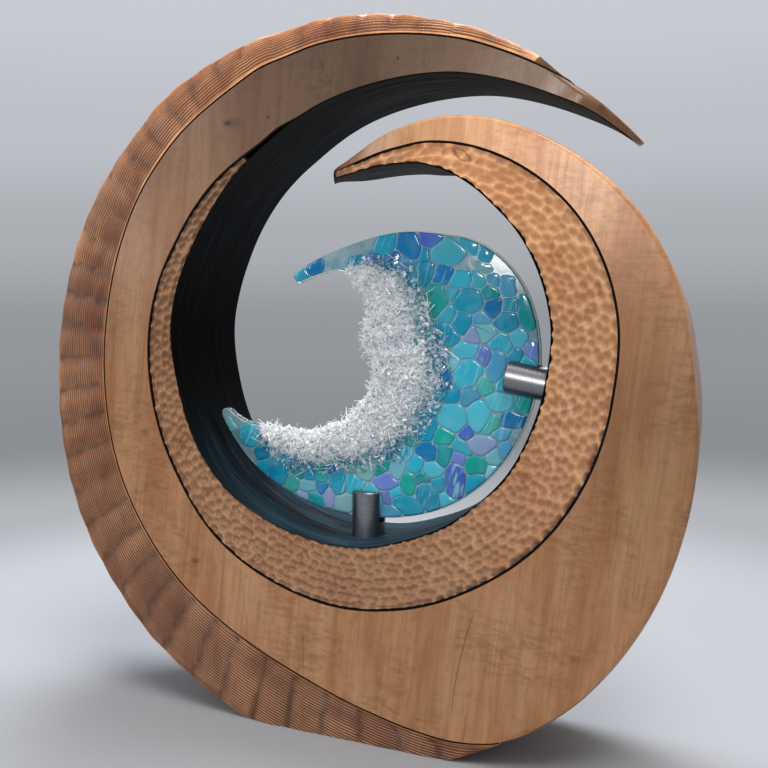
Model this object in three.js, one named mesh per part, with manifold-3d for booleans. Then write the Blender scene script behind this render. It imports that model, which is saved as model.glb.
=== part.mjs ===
// Free-standing carved wood wave: a spiral slab whose round bore holds a fused glass crescent in two clamps.
// Millimetres, +Z up, front face towards -Y.
// Angles along the wood are degrees about the bore's centre, from +X towards +Z.
import * as THREE from "three";
import { mergeVertices } from "three/addons/utils/BufferGeometryUtils.js";
import Module from "manifold-3d";

const wasm = await Module();
wasm.setup();

// Slab and bore
const BORE_RADIUS = 145;
const HEEL_DEPTH = 138.5;
const SLAB_THICKNESS = 100;
const ARM_THICKNESS = 88;
const GLUE_GAP = 0.3;
const STATION_STEP = 6;

// Bands, from the bore outwards
const LINER_THICKNESS = 1.4;
const RING_BEVEL_SLOPE = 0.3;
const INNER_LINE_WIDTH = 2;
const OUTER_LINE_WIDTH = 1.4;
const THINNEST_EDGE = 1;
// Most that the rounding takes of the band's width and of the half thickness, and the bevel of the half thickness
const ROUND_SHARE_OF_WIDTH = 0.6;
const ROUND_SHARE_OF_HALF = 0.7;
const BEVEL_SHARE_OF_HALF = 0.6;
// Where the points on the rounding lie, and the part of a band that the rounding may start in
const ROUND_STEPS = [0.38, 0.71, 0.92];
const ROUND_START = [0.3, 0.85];

// Tips: where the slab starts and ends, and how far each tip's rounding runs in degrees
const ARM_TIP_ANGLE = 35;
const CURL_TIP_ANGLE = 462;
const ARM_TIP_RUN = 11;
const CURL_TIP_RUN = 38;
const TIP_HALF_THICKNESS = 4;

// Where each band starts and ends, in degrees, on whole stations so that neighbours keep their gap
const RING_SPAN = [120, 444];
const INNER_LINE_SPAN = [108, 450];
const OUTER_LINE_SPAN = [48, 294];
const RIM_SPAN = [54, 294];

// Shape of the bands: [angle, millimetres]
// How far the slab's inner edge stands outside the bore's circle, on the arm, or inside it, on the curl
const INNER_EDGE_RISE = [
  [33, 91.5], [38, 87.5], [46, 76.5], [56, 64.5], [66, 54], [76, 42.5], [86, 32.5], [95, 25], [103, 18.5],
  [112, 11.5], [121, 7.5], [130, 4.5], [140, 1.4], [150, -0.6], [165, 0], [180, 0.6], [195, 0.4], [212, 1.6],
  [230, 3], [247, 1.8], [260, 0.3], [270, 0.1], [280, 0.3], [296, 1.8], [315, 3.2], [330, 2], [342, 0.3],
  [350, 0.1], [356, 0.6], [364, 3.2], [372, 4.8], [380, 5], [390, 3.2], [400, 0], [410, -1.8], [418, -3.8],
  [425, -7.5], [432, -13.6], [440, -19.4], [447, -23.5], [454, -25.2], [462, -24],
];
// Dimpled ring, from the liner to the inner black line
const RING_WIDTH = [
  [112, 0], [118, 1.2], [130, 5.2], [142, 7.8], [155, 9], [170, 11.2], [185, 13.8], [200, 17], [218, 20.5],
  [235, 27], [250, 31.5], [268, 36.5], [285, 37.2], [305, 36.6], [325, 39.5], [345, 42.4], [360, 41.6],
  [375, 38.5], [390, 34.4], [400, 30.2], [410, 23], [419, 16], [429, 10.2], [438, 5.4], [446, 1.2], [450, 0],
];
// Smooth face, from the inner black line to the outer one or to the edge
const FACE_WIDTH = [
  [33, 1.2], [38, 4], [44, 8], [52, 12], [62, 17], [72, 23], [82, 29.4], [92, 35.5], [102, 40.5], [112, 44],
  [122, 44.2], [135, 44.1], [150, 43.6], [160, 40.5], [172, 38.6], [185, 40.2], [200, 44.6], [215, 48.8],
  [230, 49.4], [243, 50.4], [255, 54], [265, 60.5], [275, 73], [284, 88], [292, 99.5], [300, 99.7],
  [310, 91.8], [320, 80.5], [330, 67.2], [340, 54], [350, 42.5], [360, 34.5], [372, 27.6], [386, 23.2],
  [400, 21.4], [412, 19], [421, 15.9], [430, 13.8], [441, 10.3], [450, 5.8], [456, 3.8], [462, 3],
];
// Ribbed rim, from the outer black line to the edge
const RIM_WIDTH = [
  [46, 0], [52, 3.4], [62, 7], [72, 9.6], [82, 13.8], [92, 17.2], [104, 20.6], [116, 26], [128, 30.4],
  [140, 35.8], [150, 40.9], [160, 47], [172, 51.8], [186, 55], [200, 58.3], [212, 60], [228, 59.6],
  [242, 60], [252, 62], [265, 55], [275, 42], [284, 22.5], [288, 11.5], [292, 1.2],
];
// How far the back of the curl stands out beyond its front, because the curl twists a little
const BACK_LIFT = [[424, 0], [432, 1.5], [441, 4.5], [451, 5], [462, 2]];
// Radius of the rounding along the outer edge
const EDGE_ROUND = [[60, 12], [110, 20], [240, 20], [262, 9], [278, 4], [295, 4], [315, 12], [330, 12]];

// Glass crescent, in degrees about the centre of its own hollow, which lies this far from the bore's centre
const HOLLOW_X = -46.5;
const HOLLOW_Z = -1.5;
const GLASS_SPAN = [106, -147];
const BASE_GLASS_THICKNESS = 4;
const MOSAIC_THICKNESS = 3;
const MOSAIC_BED_THICKNESS = 1.2;
const GLASS_TIP_RUN = 5;
// Space left between the glass and the bore
const GLASS_CLEARANCE = [
  [-147, 4.5], [-135, 5.5], [-120, 7], [-105, 10.5], [-90, 14], [-75, 16.2], [-60, 15.2], [-45, 13],
  [-30, 12.5], [-15, 13.5], [0, 14.5], [10, 16.5], [18, 20], [25, 26], [32, 35], [38, 46], [48, 59],
  [58, 70], [68, 76], [82, 77], [106, 71],
];
// Width of the crescent from its outer edge to its hollow
const GLASS_WIDTH = [
  [-147, 7], [-135, 17], [-120, 34], [-105, 46], [-90, 56], [-75, 69], [-60, 84], [-45, 100], [-30, 112],
  [-15, 121], [0, 130], [10, 129], [18, 121], [25, 108], [32, 91], [38, 73], [48, 52], [58, 32], [68, 20],
  [82, 14.5], [106, 8],
];
// Heap of crushed glass along the hollow's edge
const CREST_SPAN = [61, -123];
const CREST_HEIGHT = 13;
const CREST_OVERHANG = 3;
const CREST_STEP = 4;
// Lumps along the heap: share of its height and how fast they follow one another
const CREST_LUMPS = [[0.14, 2.1], [0.06, 5.3]];
// Section of the heap: share of its width and of its height
const CREST_SECTION = [[0, 0.1], [0.03, 0.55], [0.22, 0.95], [0.48, 1], [0.75, 0.7], [0.93, 0.35], [1, 0.1]];
const CREST_WIDTH = [
  [-124, 5], [-112, 17], [-96, 24], [-77, 27], [-60, 36], [-45, 42], [-30, 47], [-16, 54], [-5, 59], [8, 53],
  [25, 44], [40, 29], [50, 17], [62, 4],
];
// Pieces of the mosaic
const PIECE_SPACING = 14.5;
const PIECE_JOINT = 1.8;
const PIECE_BORDER = 3.5;
const PIECE_CORNERS = 9;
const PIECE_SEED = 11;
// Spacing varies from this share of PIECE_SPACING by up to this much more
const SPACING_SHARE = 0.78;
const SPACING_SPREAD = 0.5;
// A piece reaches at most this many times the radius of the circle inside it
const PIECE_REACH = 1.55;
const PLACE_TRIES = 60;

// Clamps: slotted round bars that stand on the bore and grip the glass
const CLAMP_ANGLES = { lower_clamp: 270, side_clamp: 350.3 };
const CLAMP_DIAMETER = 25;
const CLAMP_LENGTH = 35;
const CLAMP_CHAMFER = 0.7;
const CLAMP_SIDES = 32;
const SLOT_DEPTH = 23.5;
const PAD_THICKNESS = 1;
const PAD_MARGIN = 0.8;
const STUD_DIAMETER = 6;
const STUD_IN_CLAMP = 10;
const STUD_IN_WOOD = 25;
const GRUB_DIAMETER = 5;
const GRUB_HEIGHT = 25;
const GRUB_RECESS = 1;
const GRUB_SOCKET = 2.5;
const SMALL_SIDES = 14;

const rad = THREE.MathUtils.degToRad;
const HALF_STEP = rad(STATION_STEP / 2);
const CENTRE_HEIGHT = BORE_RADIUS + HEEL_DEPTH;
const SLACK = 1;

// Finishes
const finish = (color, roughness, metalness = 0) =>
  new THREE.MeshStandardMaterial({ color, roughness, metalness });
const OILED_MAPLE = finish(0xc49a6c, 0.45);
const CARVED_MAPLE = finish(0xb9824f, 0.55);
const RIBBED_WOOD = finish(0x8a5a38, 0.6);
const STAINED_LINER = finish(0x222b33, 0.6);
const BLACK_LINE = finish(0x120d0a, 0.6);
const BRUSHED_ALUMINIUM = finish(0xa9abb0, 0.35, 1);
const PLATED_STEEL = finish(0x8d8f92, 0.3, 1);
const BLACK_RUBBER = finish(0x1a1a1c, 0.85);
const CLEAR_GLASS = finish(0xcfe6e6, 0.08);
const TEAL_GLASS = finish(0x2a9aa8, 0.1);
const CRUSHED_GLASS = finish(0xe8f4f6, 0.25);
for (const glass of [CLEAR_GLASS, TEAL_GLASS, CRUSHED_GLASS]) {
  glass.transparent = true;
  glass.opacity = 0.75;
}

// A smooth curve through [place, value] pairs, held level past its ends
function curve(pairs) {
  const places = pairs.map((pair) => pair[0]);
  const values = pairs.map((pair) => pair[1]);
  const spline = new THREE.CubicInterpolant(places, values, 1, new Float64Array(1));
  return (place) => spline.evaluate(THREE.MathUtils.clamp(place, places[0], places.at(-1)))[0];
}

const innerEdgeRise = curve(INNER_EDGE_RISE);
const ringWidth = curve(RING_WIDTH);
const faceWidth = curve(FACE_WIDTH);
const rimWidth = curve(RIM_WIDTH);
const backLift = curve(BACK_LIFT);
const edgeRound = curve(EDGE_ROUND);
const glassClearance = curve(GLASS_CLEARANCE);
const glassWidth = curve(GLASS_WIDTH);
const crestWidth = curve(CREST_WIDTH);

// 0 outside a span, 1 inside it, rising smoothly over a few degrees at each end
const LINE_FADE = 6;
const inSpan = (angle, [start, end]) =>
  THREE.MathUtils.smoothstep(angle, start - LINE_FADE, start) *
  (1 - THREE.MathUtils.smoothstep(angle, end, end + LINE_FADE));

// Radii that part the bands at one angle
function bands(angle) {
  const bore = BORE_RADIUS + innerEdgeRise(angle);
  const liner = bore + LINER_THICKNESS;
  const ring = liner + Math.max(0, ringWidth(angle));
  const innerLine = (INNER_LINE_WIDTH + GLUE_GAP) * inSpan(angle, INNER_LINE_SPAN);
  const face = ring + innerLine + Math.max(THINNEST_EDGE, faceWidth(angle));
  const outerLine = (OUTER_LINE_WIDTH + GLUE_GAP) * inSpan(angle, OUTER_LINE_SPAN);
  const rim = face + outerLine + Math.max(0, rimWidth(angle));
  return {
    liner: [bore, liner],
    ring: [liner + GLUE_GAP, ring],
    innerLine: [ring + GLUE_GAP, ring + innerLine],
    face: [ring + innerLine + GLUE_GAP, face],
    outerLine: [face + GLUE_GAP, face + outerLine],
    rim: [face + outerLine + GLUE_GAP, rim],
    edge: rim,
    bevelEdge: ring + GLUE_GAP,
  };
}

// Half the slab's thickness: full from the heel to the curl, less on the arm, and rounded off at both tips
const thickening = curve([[100, 0], [120, 0.05], [140, 0.3], [160, 0.9], [170, 1]]);
const slabThickness = (angle) => THREE.MathUtils.lerp(ARM_THICKNESS, SLAB_THICKNESS, thickening(angle));
function halfThickness(angle) {
  const armEnd = THREE.MathUtils.clamp((angle - ARM_TIP_ANGLE) / ARM_TIP_RUN, 0, 1);
  const curlEnd = THREE.MathUtils.clamp((CURL_TIP_ANGLE - angle) / CURL_TIP_RUN, 0, 1);
  const rounding = Math.sqrt(1 - (1 - armEnd) ** 2) * Math.sqrt(1 - (1 - curlEnd) ** 2);
  return TIP_HALF_THICKNESS + (slabThickness(angle) / 2 - TIP_HALF_THICKNESS) * rounding;
}

// The outer edge's rounding at one angle, kept within the slab
function roundAt(angle) {
  const { edge, bevelEdge } = bands(angle);
  const widest = ROUND_SHARE_OF_WIDTH * (edge - bevelEdge);
  return Math.min(edgeRound(angle), widest, ROUND_SHARE_OF_HALF * halfThickness(angle));
}

// How far the front face lies behind its plane at one radius
function faceDepth(angle, radius) {
  const { edge, bevelEdge } = bands(angle);
  const round = roundAt(angle);
  const fromEdge = Math.max(0, edge - radius);
  const rolled = fromEdge < round ? round - Math.sqrt(round ** 2 - (round - fromEdge) ** 2) : 0;
  const fullBevel = RING_BEVEL_SLOPE * Math.max(0, bevelEdge - radius);
  return rolled + Math.min(fullBevel, BEVEL_SHARE_OF_HALF * halfThickness(angle));
}

// A closed body through rings of points, capped flat at both ends
// On the last side the diagonals run the other way, so that they match those of the body that lies against it
function loft(rings, capPoints) {
  const count = rings[0].length;
  const positions = rings.flat().flatMap((point) => point.toArray());
  const index = [];
  for (let ring = 0; ring + 1 < rings.length; ring++) {
    for (let k = 0; k < count; k++) {
      const a = ring * count + k;
      const b = ring * count + ((k + 1) % count);
      if (k + 1 < count) index.push(a, b, b + count, a, b + count, a + count);
      else index.push(a, b, a + count, b, b + count, a + count);
    }
  }
  const last = (rings.length - 1) * count;
  for (const [a, b, c] of THREE.ShapeUtils.triangulateShape(capPoints(0), [])) index.push(c, b, a);
  for (const [a, b, c] of THREE.ShapeUtils.triangulateShape(capPoints(rings.length - 1), [])) {
    index.push(last + a, last + b, last + c);
  }
  const geometry = new THREE.BufferGeometry();
  geometry.setAttribute("position", new THREE.Float32BufferAttribute(positions, 3));
  geometry.setIndex(index);
  return facingOut(geometry);
}

// Turns a closed body's faces outwards if they point in
function facingOut(geometry) {
  const at = geometry.attributes.position;
  const order = geometry.index.array;
  const [a, b, c] = [new THREE.Vector3(), new THREE.Vector3(), new THREE.Vector3()];
  let volume = 0;
  for (let k = 0; k < order.length; k += 3) {
    a.fromBufferAttribute(at, order[k]);
    b.fromBufferAttribute(at, order[k + 1]);
    c.fromBufferAttribute(at, order[k + 2]);
    volume += a.dot(b.cross(c));
  }
  if (volume < 0) geometry.setIndex(Array.from(order).reverse());
  return geometry;
}

// Angles of the stations along a span: its two ends, and the shared grid between them
function stations([start, end]) {
  const grid = [];
  for (let angle = Math.ceil(start / STATION_STEP) * STATION_STEP; angle <= end; angle += STATION_STEP) {
    if (angle - start > SLACK && end - angle > SLACK) grid.push(angle);
  }
  return [start, ...grid, end];
}

// One wood band swept along the spiral; steps gives the radii of its face points at one angle
function woodBand(name, span, steps) {
  const outlines = stations(span).map((angle) => {
    const [inner, outer] = bands(angle)[name];
    const half = halfThickness(angle);
    const reach = Math.max(outer - inner, THINNEST_EDGE / 2);
    const front = steps(angle, inner, inner + reach).map(
      (radius) => new THREE.Vector2(radius, faceDepth(angle, radius) - half),
    );
    const lift = backLift(angle);
    const back = front.map((point) => new THREE.Vector2(point.x + lift, -point.y)).reverse();
    return { angle: rad(angle), section: [...front, ...back] };
  });
  const rings = outlines.map(({ angle, section }) =>
    section.map((point) => new THREE.Vector3(point.x * Math.cos(angle), point.y, point.x * Math.sin(angle))),
  );
  return loft(rings, (which) => outlines[which].section);
}

// Face points of a plain band, at its two edges
const edgesOnly = (angle, inner, outer) => [inner, outer];
// Face points that follow the outer edge's rounding: level up to it, then closer together
function followRounding(angle, inner, outer) {
  const round = roundAt(angle);
  const { edge } = bands(angle);
  const [lowest, highest] = ROUND_START.map((part) => THREE.MathUtils.lerp(inner, outer, part));
  const start = THREE.MathUtils.clamp(edge - round, lowest, highest);
  const places = ROUND_STEPS.map((part) => THREE.MathUtils.lerp(start, outer, part));
  return [inner, start, ...places, outer];
}

// Conversions between three.js geometry and the solids that cut and join it
function solid(geometry) {
  const bare = geometry.clone();
  bare.deleteAttribute("normal");
  bare.deleteAttribute("uv");
  const merged = mergeVertices(bare, 1e-4);
  return new wasm.Manifold(
    new wasm.Mesh({
      numProp: 3,
      vertProperties: new Float32Array(merged.attributes.position.array),
      triVerts: new Uint32Array(merged.index.array),
    }),
  );
}

function geometryOf(body) {
  const { vertProperties, triVerts, numProp } = body.getMesh();
  const positions = [];
  for (let k = 0; k < vertProperties.length; k += numProp) positions.push(...vertProperties.slice(k, k + 3));
  const geometry = new THREE.BufferGeometry();
  geometry.setAttribute("position", new THREE.Float32BufferAttribute(positions, 3));
  geometry.setIndex(Array.from(triVerts));
  return geometry;
}

const cut = (geometry, ...cutters) =>
  geometryOf(cutters.reduce((body, cutter) => body.subtract(solid(cutter)), solid(geometry)));

// A flat plate with this outline in X and Z, between two depths along Y
function plate(outline, front, back) {
  const shape = new THREE.Shape(outline);
  const geometry = new THREE.ExtrudeGeometry(shape, { depth: back - front, bevelEnabled: false });
  geometry.rotateX(Math.PI / 2);
  geometry.translate(0, back, 0);
  return geometry;
}

// A round bar along +Z from a low to a high end
function bar(diameter, low, high, sides = SMALL_SIDES) {
  const geometry = new THREE.CylinderGeometry(diameter / 2, diameter / 2, high - low, sides);
  geometry.rotateX(Math.PI / 2);
  geometry.translate(0, 0, (low + high) / 2);
  return geometry;
}

const sculpture = new THREE.Group();

function addMesh(parent, name, geometry, material) {
  const mesh = new THREE.Mesh(geometry, material);
  mesh.name = name;
  parent.add(mesh);
  return mesh;
}

// Glass position through the thickness: the mosaic in front, the clear sheet behind, both centred in the slab
const GLASS_STACK = BASE_GLASS_THICKNESS + MOSAIC_THICKNESS + GLUE_GAP;
const GLASS_FRONT = -GLASS_STACK / 2;
const MOSAIC_BACK = GLASS_FRONT + MOSAIC_THICKNESS;
const BASE_FRONT = MOSAIC_BACK + GLUE_GAP;
const BASE_BACK = GLASS_STACK / 2;

// Clamp seats: each bar's flat end rests across the concave bore
const CLAMP_RADIUS = CLAMP_DIAMETER / 2;
const BORE_FLAT = BORE_RADIUS * Math.cos(HALF_STEP);
const SEAT_RADIUS = Math.sqrt(BORE_FLAT ** 2 - CLAMP_RADIUS ** 2) - GLUE_GAP;
const SLOT_WIDTH = GLASS_STACK + 2 * PAD_THICKNESS + 4 * GLUE_GAP;
const SLOT_FLOOR = CLAMP_LENGTH - SLOT_DEPTH;

// A frame whose +Z points from the bore towards its centre, at a clamp's seat
function seat(angle) {
  const frame = new THREE.Group();
  frame.position.set(SEAT_RADIUS * Math.cos(rad(angle)), 0, SEAT_RADIUS * Math.sin(rad(angle)));
  frame.rotation.y = Math.atan2(-Math.cos(rad(angle)), -Math.sin(rad(angle)));
  frame.updateMatrix();
  return frame;
}

// Stud holes in the wood, one below each clamp
const studHoles = Object.values(CLAMP_ANGLES).map((angle) =>
  bar(STUD_DIAMETER + 2 * GLUE_GAP, -STUD_IN_WOOD - GLUE_GAP, CLAMP_RADIUS).applyMatrix4(seat(angle).matrix),
);

// The flat that the sculpture stands on is cut level across the heel
const REACH = 4 * CENTRE_HEIGHT;
const belowTable = new THREE.BoxGeometry(REACH, REACH, REACH).translate(0, 0, -CENTRE_HEIGHT - REACH / 2);

const SLAB_SPAN = [ARM_TIP_ANGLE, CURL_TIP_ANGLE];
const wholeFace = woodBand("face", SLAB_SPAN, followRounding);
const wholeRim = woodBand("rim", RIM_SPAN, followRounding);
const wholeRing = woodBand("ring", RING_SPAN, edgesOnly);
const wholeLiner = woodBand("liner", SLAB_SPAN, edgesOnly);
const wholeOuterLine = woodBand("outerLine", OUTER_LINE_SPAN, edgesOnly);
addMesh(sculpture, "smooth_face_body", cut(wholeFace, belowTable), OILED_MAPLE);
addMesh(sculpture, "ribbed_outer_rim", cut(wholeRim, belowTable), RIBBED_WOOD);
addMesh(sculpture, "dimpled_inner_ring", cut(wholeRing, ...studHoles), CARVED_MAPLE);
addMesh(sculpture, "dark_bore_liner", cut(wholeLiner, ...studHoles), STAINED_LINER);
addMesh(sculpture, "inner_black_line", woodBand("innerLine", INNER_LINE_SPAN, edgesOnly), BLACK_LINE);
addMesh(sculpture, "outer_black_line", cut(wholeOuterLine, belowTable), BLACK_LINE);

// Distance from the hollow's centre to the bore's circle in one direction
function boreDistance(angle) {
  const along = -(HOLLOW_X * Math.cos(rad(angle)) + HOLLOW_Z * Math.sin(rad(angle)));
  return along + Math.sqrt(along ** 2 - HOLLOW_X ** 2 - HOLLOW_Z ** 2 + BORE_RADIUS ** 2);
}

const glassOuter = (angle) => boreDistance(angle) - glassClearance(angle);
const glassInner = (angle) => glassOuter(angle) - glassWidth(angle);
const fromHollow = (angle, radius) =>
  new THREE.Vector2(HOLLOW_X + radius * Math.cos(rad(angle)), HOLLOW_Z + radius * Math.sin(rad(angle)));

// Angles along the crescent from its upper tip to its lower one
function sweepAngles([start, end], step) {
  const count = Math.ceil(Math.abs(end - start) / step);
  return Array.from({ length: count + 1 }, (_, k) => THREE.MathUtils.lerp(start, end, k / count));
}

// The crescent's closed outline; over the crushed glass its hollow's edge is drawn back under the heap
function crescentOutline(drawBack) {
  const [start, end] = GLASS_SPAN;
  const angles = sweepAngles([start - GLASS_TIP_RUN, end + GLASS_TIP_RUN], CREST_STEP);
  const outer = angles.map((angle) => fromHollow(angle, glassOuter(angle)));
  const inner = angles.map((angle) => {
    const underHeap = angle < CREST_SPAN[0] && angle > CREST_SPAN[1] ? drawBack : 0;
    return fromHollow(angle, glassInner(angle) + underHeap);
  });
  const middle = (angle) => fromHollow(angle, (glassOuter(angle) + glassInner(angle)) / 2);
  return [middle(start), ...outer, middle(end), ...inner.reverse()];
}

const baseSheet = plate(crescentOutline(CREST_OVERHANG), BASE_FRONT, BASE_BACK);
addMesh(sculpture, "clear_base_glass", baseSheet, CLEAR_GLASS);

// The heap of crushed glass, lofted round the hollow as a lumpy bank
const crestOutlines = sweepAngles(CREST_SPAN, CREST_STEP).map((angle, k) => {
  const width = crestWidth(angle);
  const lump = CREST_LUMPS.reduce((sum, [size, pace]) => sum - size + size * Math.sin(pace * k), 1);
  const height = Math.min(CREST_HEIGHT, width) * lump;
  const start = glassInner(angle);
  const top = CREST_SECTION.map(
    ([place, rise]) => new THREE.Vector2(start + place * width, MOSAIC_BACK - rise * height),
  );
  const foot = new THREE.Vector2(start, MOSAIC_BACK);
  const toe = new THREE.Vector2(start + width, MOSAIC_BACK);
  return { angle, section: [foot, ...top, toe] };
});
const crestRings = crestOutlines.map(({ angle, section }) =>
  section.map(({ x: radius, y: depth }) => {
    const place = fromHollow(angle, radius);
    return new THREE.Vector3(place.x, depth, place.y);
  }),
);
const crest = loft(crestRings, (which) => crestOutlines[which].section);
addMesh(sculpture, "crushed_glass_crest", crest, CRUSHED_GLASS);

// Whether a point lies inside a closed outline, at least a margin from its edge
function inside(point, outline, margin) {
  let within = false;
  for (let k = 0; k < outline.length; k++) {
    const a = outline[k];
    const b = outline[(k + 1) % outline.length];
    if (a.y > point.y !== b.y > point.y && point.x < a.x + ((point.y - a.y) / (b.y - a.y)) * (b.x - a.x)) {
      within = !within;
    }
    const edge = b.clone().sub(a);
    const along = THREE.MathUtils.clamp(point.clone().sub(a).dot(edge) / edge.lengthSq(), 0, 1);
    if (a.clone().addScaledVector(edge, along).distanceTo(point) < margin) return false;
  }
  return within;
}

// The part of the crescent that the heap covers, widened by a clearance
function crestFootprint(clearance) {
  const [start, end] = CREST_SPAN;
  const angles = sweepAngles([start + clearance, end - clearance], CREST_STEP);
  const outer = angles.map((angle) => fromHollow(angle, glassInner(angle) + crestWidth(angle) + clearance));
  const inner = angles.map((angle) => fromHollow(angle, glassInner(angle) - clearance * SLOT_WIDTH));
  return [...outer, ...inner.reverse()];
}

// Places for the mosaic's pieces: scattered points that keep their distance, always the same ones
function scatter() {
  let state = PIECE_SEED;
  const random = () => {
    state = (state * 16807) % 2147483647;
    return state / 2147483647;
  };
  const reach = BORE_RADIUS + PIECE_SPACING;
  const places = [];
  const tries = Math.round(PLACE_TRIES * (reach / PIECE_SPACING) ** 2);
  for (let k = 0; k < tries; k++) {
    const place = new THREE.Vector2((2 * random() - 1) * reach, (2 * random() - 1) * reach);
    const spacing = PIECE_SPACING * (SPACING_SHARE + SPACING_SPREAD * random());
    if (places.every((other) => other.distanceTo(place) > spacing)) places.push(place);
  }
  return places;
}

// One rounded piece: as far out as half way to each neighbour, and inside the crescent's border
const crescent = crescentOutline(0);
const heapEdge = crestFootprint(PIECE_JOINT);
function pieceOutline(place, others, turn) {
  const near = others.filter((other) => other !== place && other.distanceTo(place) < 5 * PIECE_SPACING);
  const halfWays = near.map((other) => other.clone().sub(place));
  const inscribed = Math.min(...halfWays.map((way) => way.length() / 2)) - PIECE_JOINT / 2;
  const corners = [];
  for (let k = 0; k < PIECE_CORNERS; k++) {
    const angle = turn + (2 * Math.PI * k) / PIECE_CORNERS;
    const out = new THREE.Vector2(Math.cos(angle), Math.sin(angle));
    let reach = PIECE_REACH * inscribed;
    for (const way of halfWays) {
      const facing = out.dot(way) / way.length();
      if (facing > 0) reach = Math.min(reach, (way.length() / 2 - PIECE_JOINT / 2) / facing);
    }
    const allowed = (point) => inside(point, crescent, PIECE_BORDER) && !inside(point, heapEdge, 0);
    while (reach > 0 && !allowed(place.clone().addScaledVector(out, reach))) reach -= PIECE_JOINT / 3;
    if (reach < PIECE_JOINT) return null;
    corners.push(place.clone().addScaledVector(out, reach));
  }
  return corners;
}

// The mosaic: a thin bed that the pieces are fused into, open where the heap lies
const PIECE_BACK = MOSAIC_BACK - MOSAIC_BED_THICKNESS / 2;
const places = scatter();
let mosaic = solid(plate(crescent, MOSAIC_BACK - MOSAIC_BED_THICKNESS, MOSAIC_BACK));
mosaic = mosaic.subtract(solid(plate(crestFootprint(GLUE_GAP), GLASS_FRONT - SLACK, MOSAIC_BACK + SLACK)));
places.forEach((place, k) => {
  if (!inside(place, crescent, PIECE_BORDER) || inside(place, heapEdge, 0)) return;
  const corners = pieceOutline(place, places, k);
  if (corners) mosaic = mosaic.add(solid(plate(corners, GLASS_FRONT, PIECE_BACK)));
});
const largest = mosaic.decompose().reduce((best, body) => (body.volume() > best.volume() ? body : best));
addMesh(sculpture, "mosaic_glass_layer", geometryOf(largest), TEAL_GLASS);

// One clamp: bar, stud, two pads and the grub screw that presses the rear pad
function clampBar() {
  const endRadius = CLAMP_RADIUS - CLAMP_CHAMFER;
  const profile = [
    [0, 0], [endRadius, 0], [CLAMP_RADIUS, CLAMP_CHAMFER],
    [CLAMP_RADIUS, CLAMP_LENGTH - CLAMP_CHAMFER], [endRadius, CLAMP_LENGTH], [0, CLAMP_LENGTH],
  ].map(([x, y]) => new THREE.Vector2(x, y));
  const turned = new THREE.LatheGeometry(profile, CLAMP_SIDES).rotateX(Math.PI / 2);
  const slot = new THREE.BoxGeometry(2 * CLAMP_DIAMETER, SLOT_WIDTH, SLOT_DEPTH + SLACK);
  slot.translate(0, 0, SLOT_FLOOR + (SLOT_DEPTH + SLACK) / 2);
  const studHole = bar(STUD_DIAMETER + 2 * GLUE_GAP, -SLACK, STUD_IN_CLAMP + GLUE_GAP);
  return cut(turned, slot, studHole, grubBar(GRUB_DIAMETER + 2 * GLUE_GAP, 0, CLAMP_DIAMETER));
}

function grubBar(diameter, front, back, sides = SMALL_SIDES) {
  return bar(diameter, front, back, sides).rotateX(-Math.PI / 2).translate(0, 0, GRUB_HEIGHT);
}

function pad(side) {
  const cheek = Math.sqrt(CLAMP_RADIUS ** 2 - (SLOT_WIDTH / 2) ** 2);
  const low = SLOT_FLOOR + GLUE_GAP + PAD_MARGIN;
  const high = CLAMP_LENGTH - PAD_MARGIN;
  const geometry = new THREE.BoxGeometry(2 * (cheek - PAD_MARGIN), PAD_THICKNESS, high - low);
  return geometry.translate(0, side * (GLASS_STACK / 2 + GLUE_GAP + PAD_THICKNESS / 2), (low + high) / 2);
}

function addClamp(name, angle) {
  const frame = seat(angle);
  sculpture.add(frame);
  addMesh(frame, name + "_bar", clampBar(), BRUSHED_ALUMINIUM);
  addMesh(frame, name + "_stud", bar(STUD_DIAMETER, -STUD_IN_WOOD, STUD_IN_CLAMP), PLATED_STEEL);
  addMesh(frame, name + "_front_pad", pad(-1), BLACK_RUBBER);
  addMesh(frame, name + "_rear_pad", pad(1), BLACK_RUBBER);
  const screwFront = SLOT_WIDTH / 2;
  const screwBack = CLAMP_RADIUS - GRUB_RECESS;
  const socket = grubBar(GRUB_SOCKET, screwBack - GRUB_SOCKET, screwBack + SLACK, 6);
  const screw = cut(grubBar(GRUB_DIAMETER, screwFront, screwBack), socket);
  addMesh(frame, name + "_grub_screw", screw, PLATED_STEEL);
}

for (const [name, angle] of Object.entries(CLAMP_ANGLES)) addClamp(name, angle);

// Stand the sculpture on the table, with its box centred over the origin
sculpture.updateMatrixWorld(true);
const box = new THREE.Box3().setFromObject(sculpture, true);
const centre = box.getCenter(new THREE.Vector3());
sculpture.position.set(-centre.x, -centre.y, CENTRE_HEIGHT);
sculpture.updateMatrixWorld(true);

export default sculpture;
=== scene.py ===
"""Looks of the carved wood wave with its fused glass crescent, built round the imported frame."""

import logging
import math
from dataclasses import dataclass, replace
from enum import Enum

import bmesh
import bpy
import numpy as np
from mathutils import Euler, Matrix, Vector, noise


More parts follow.
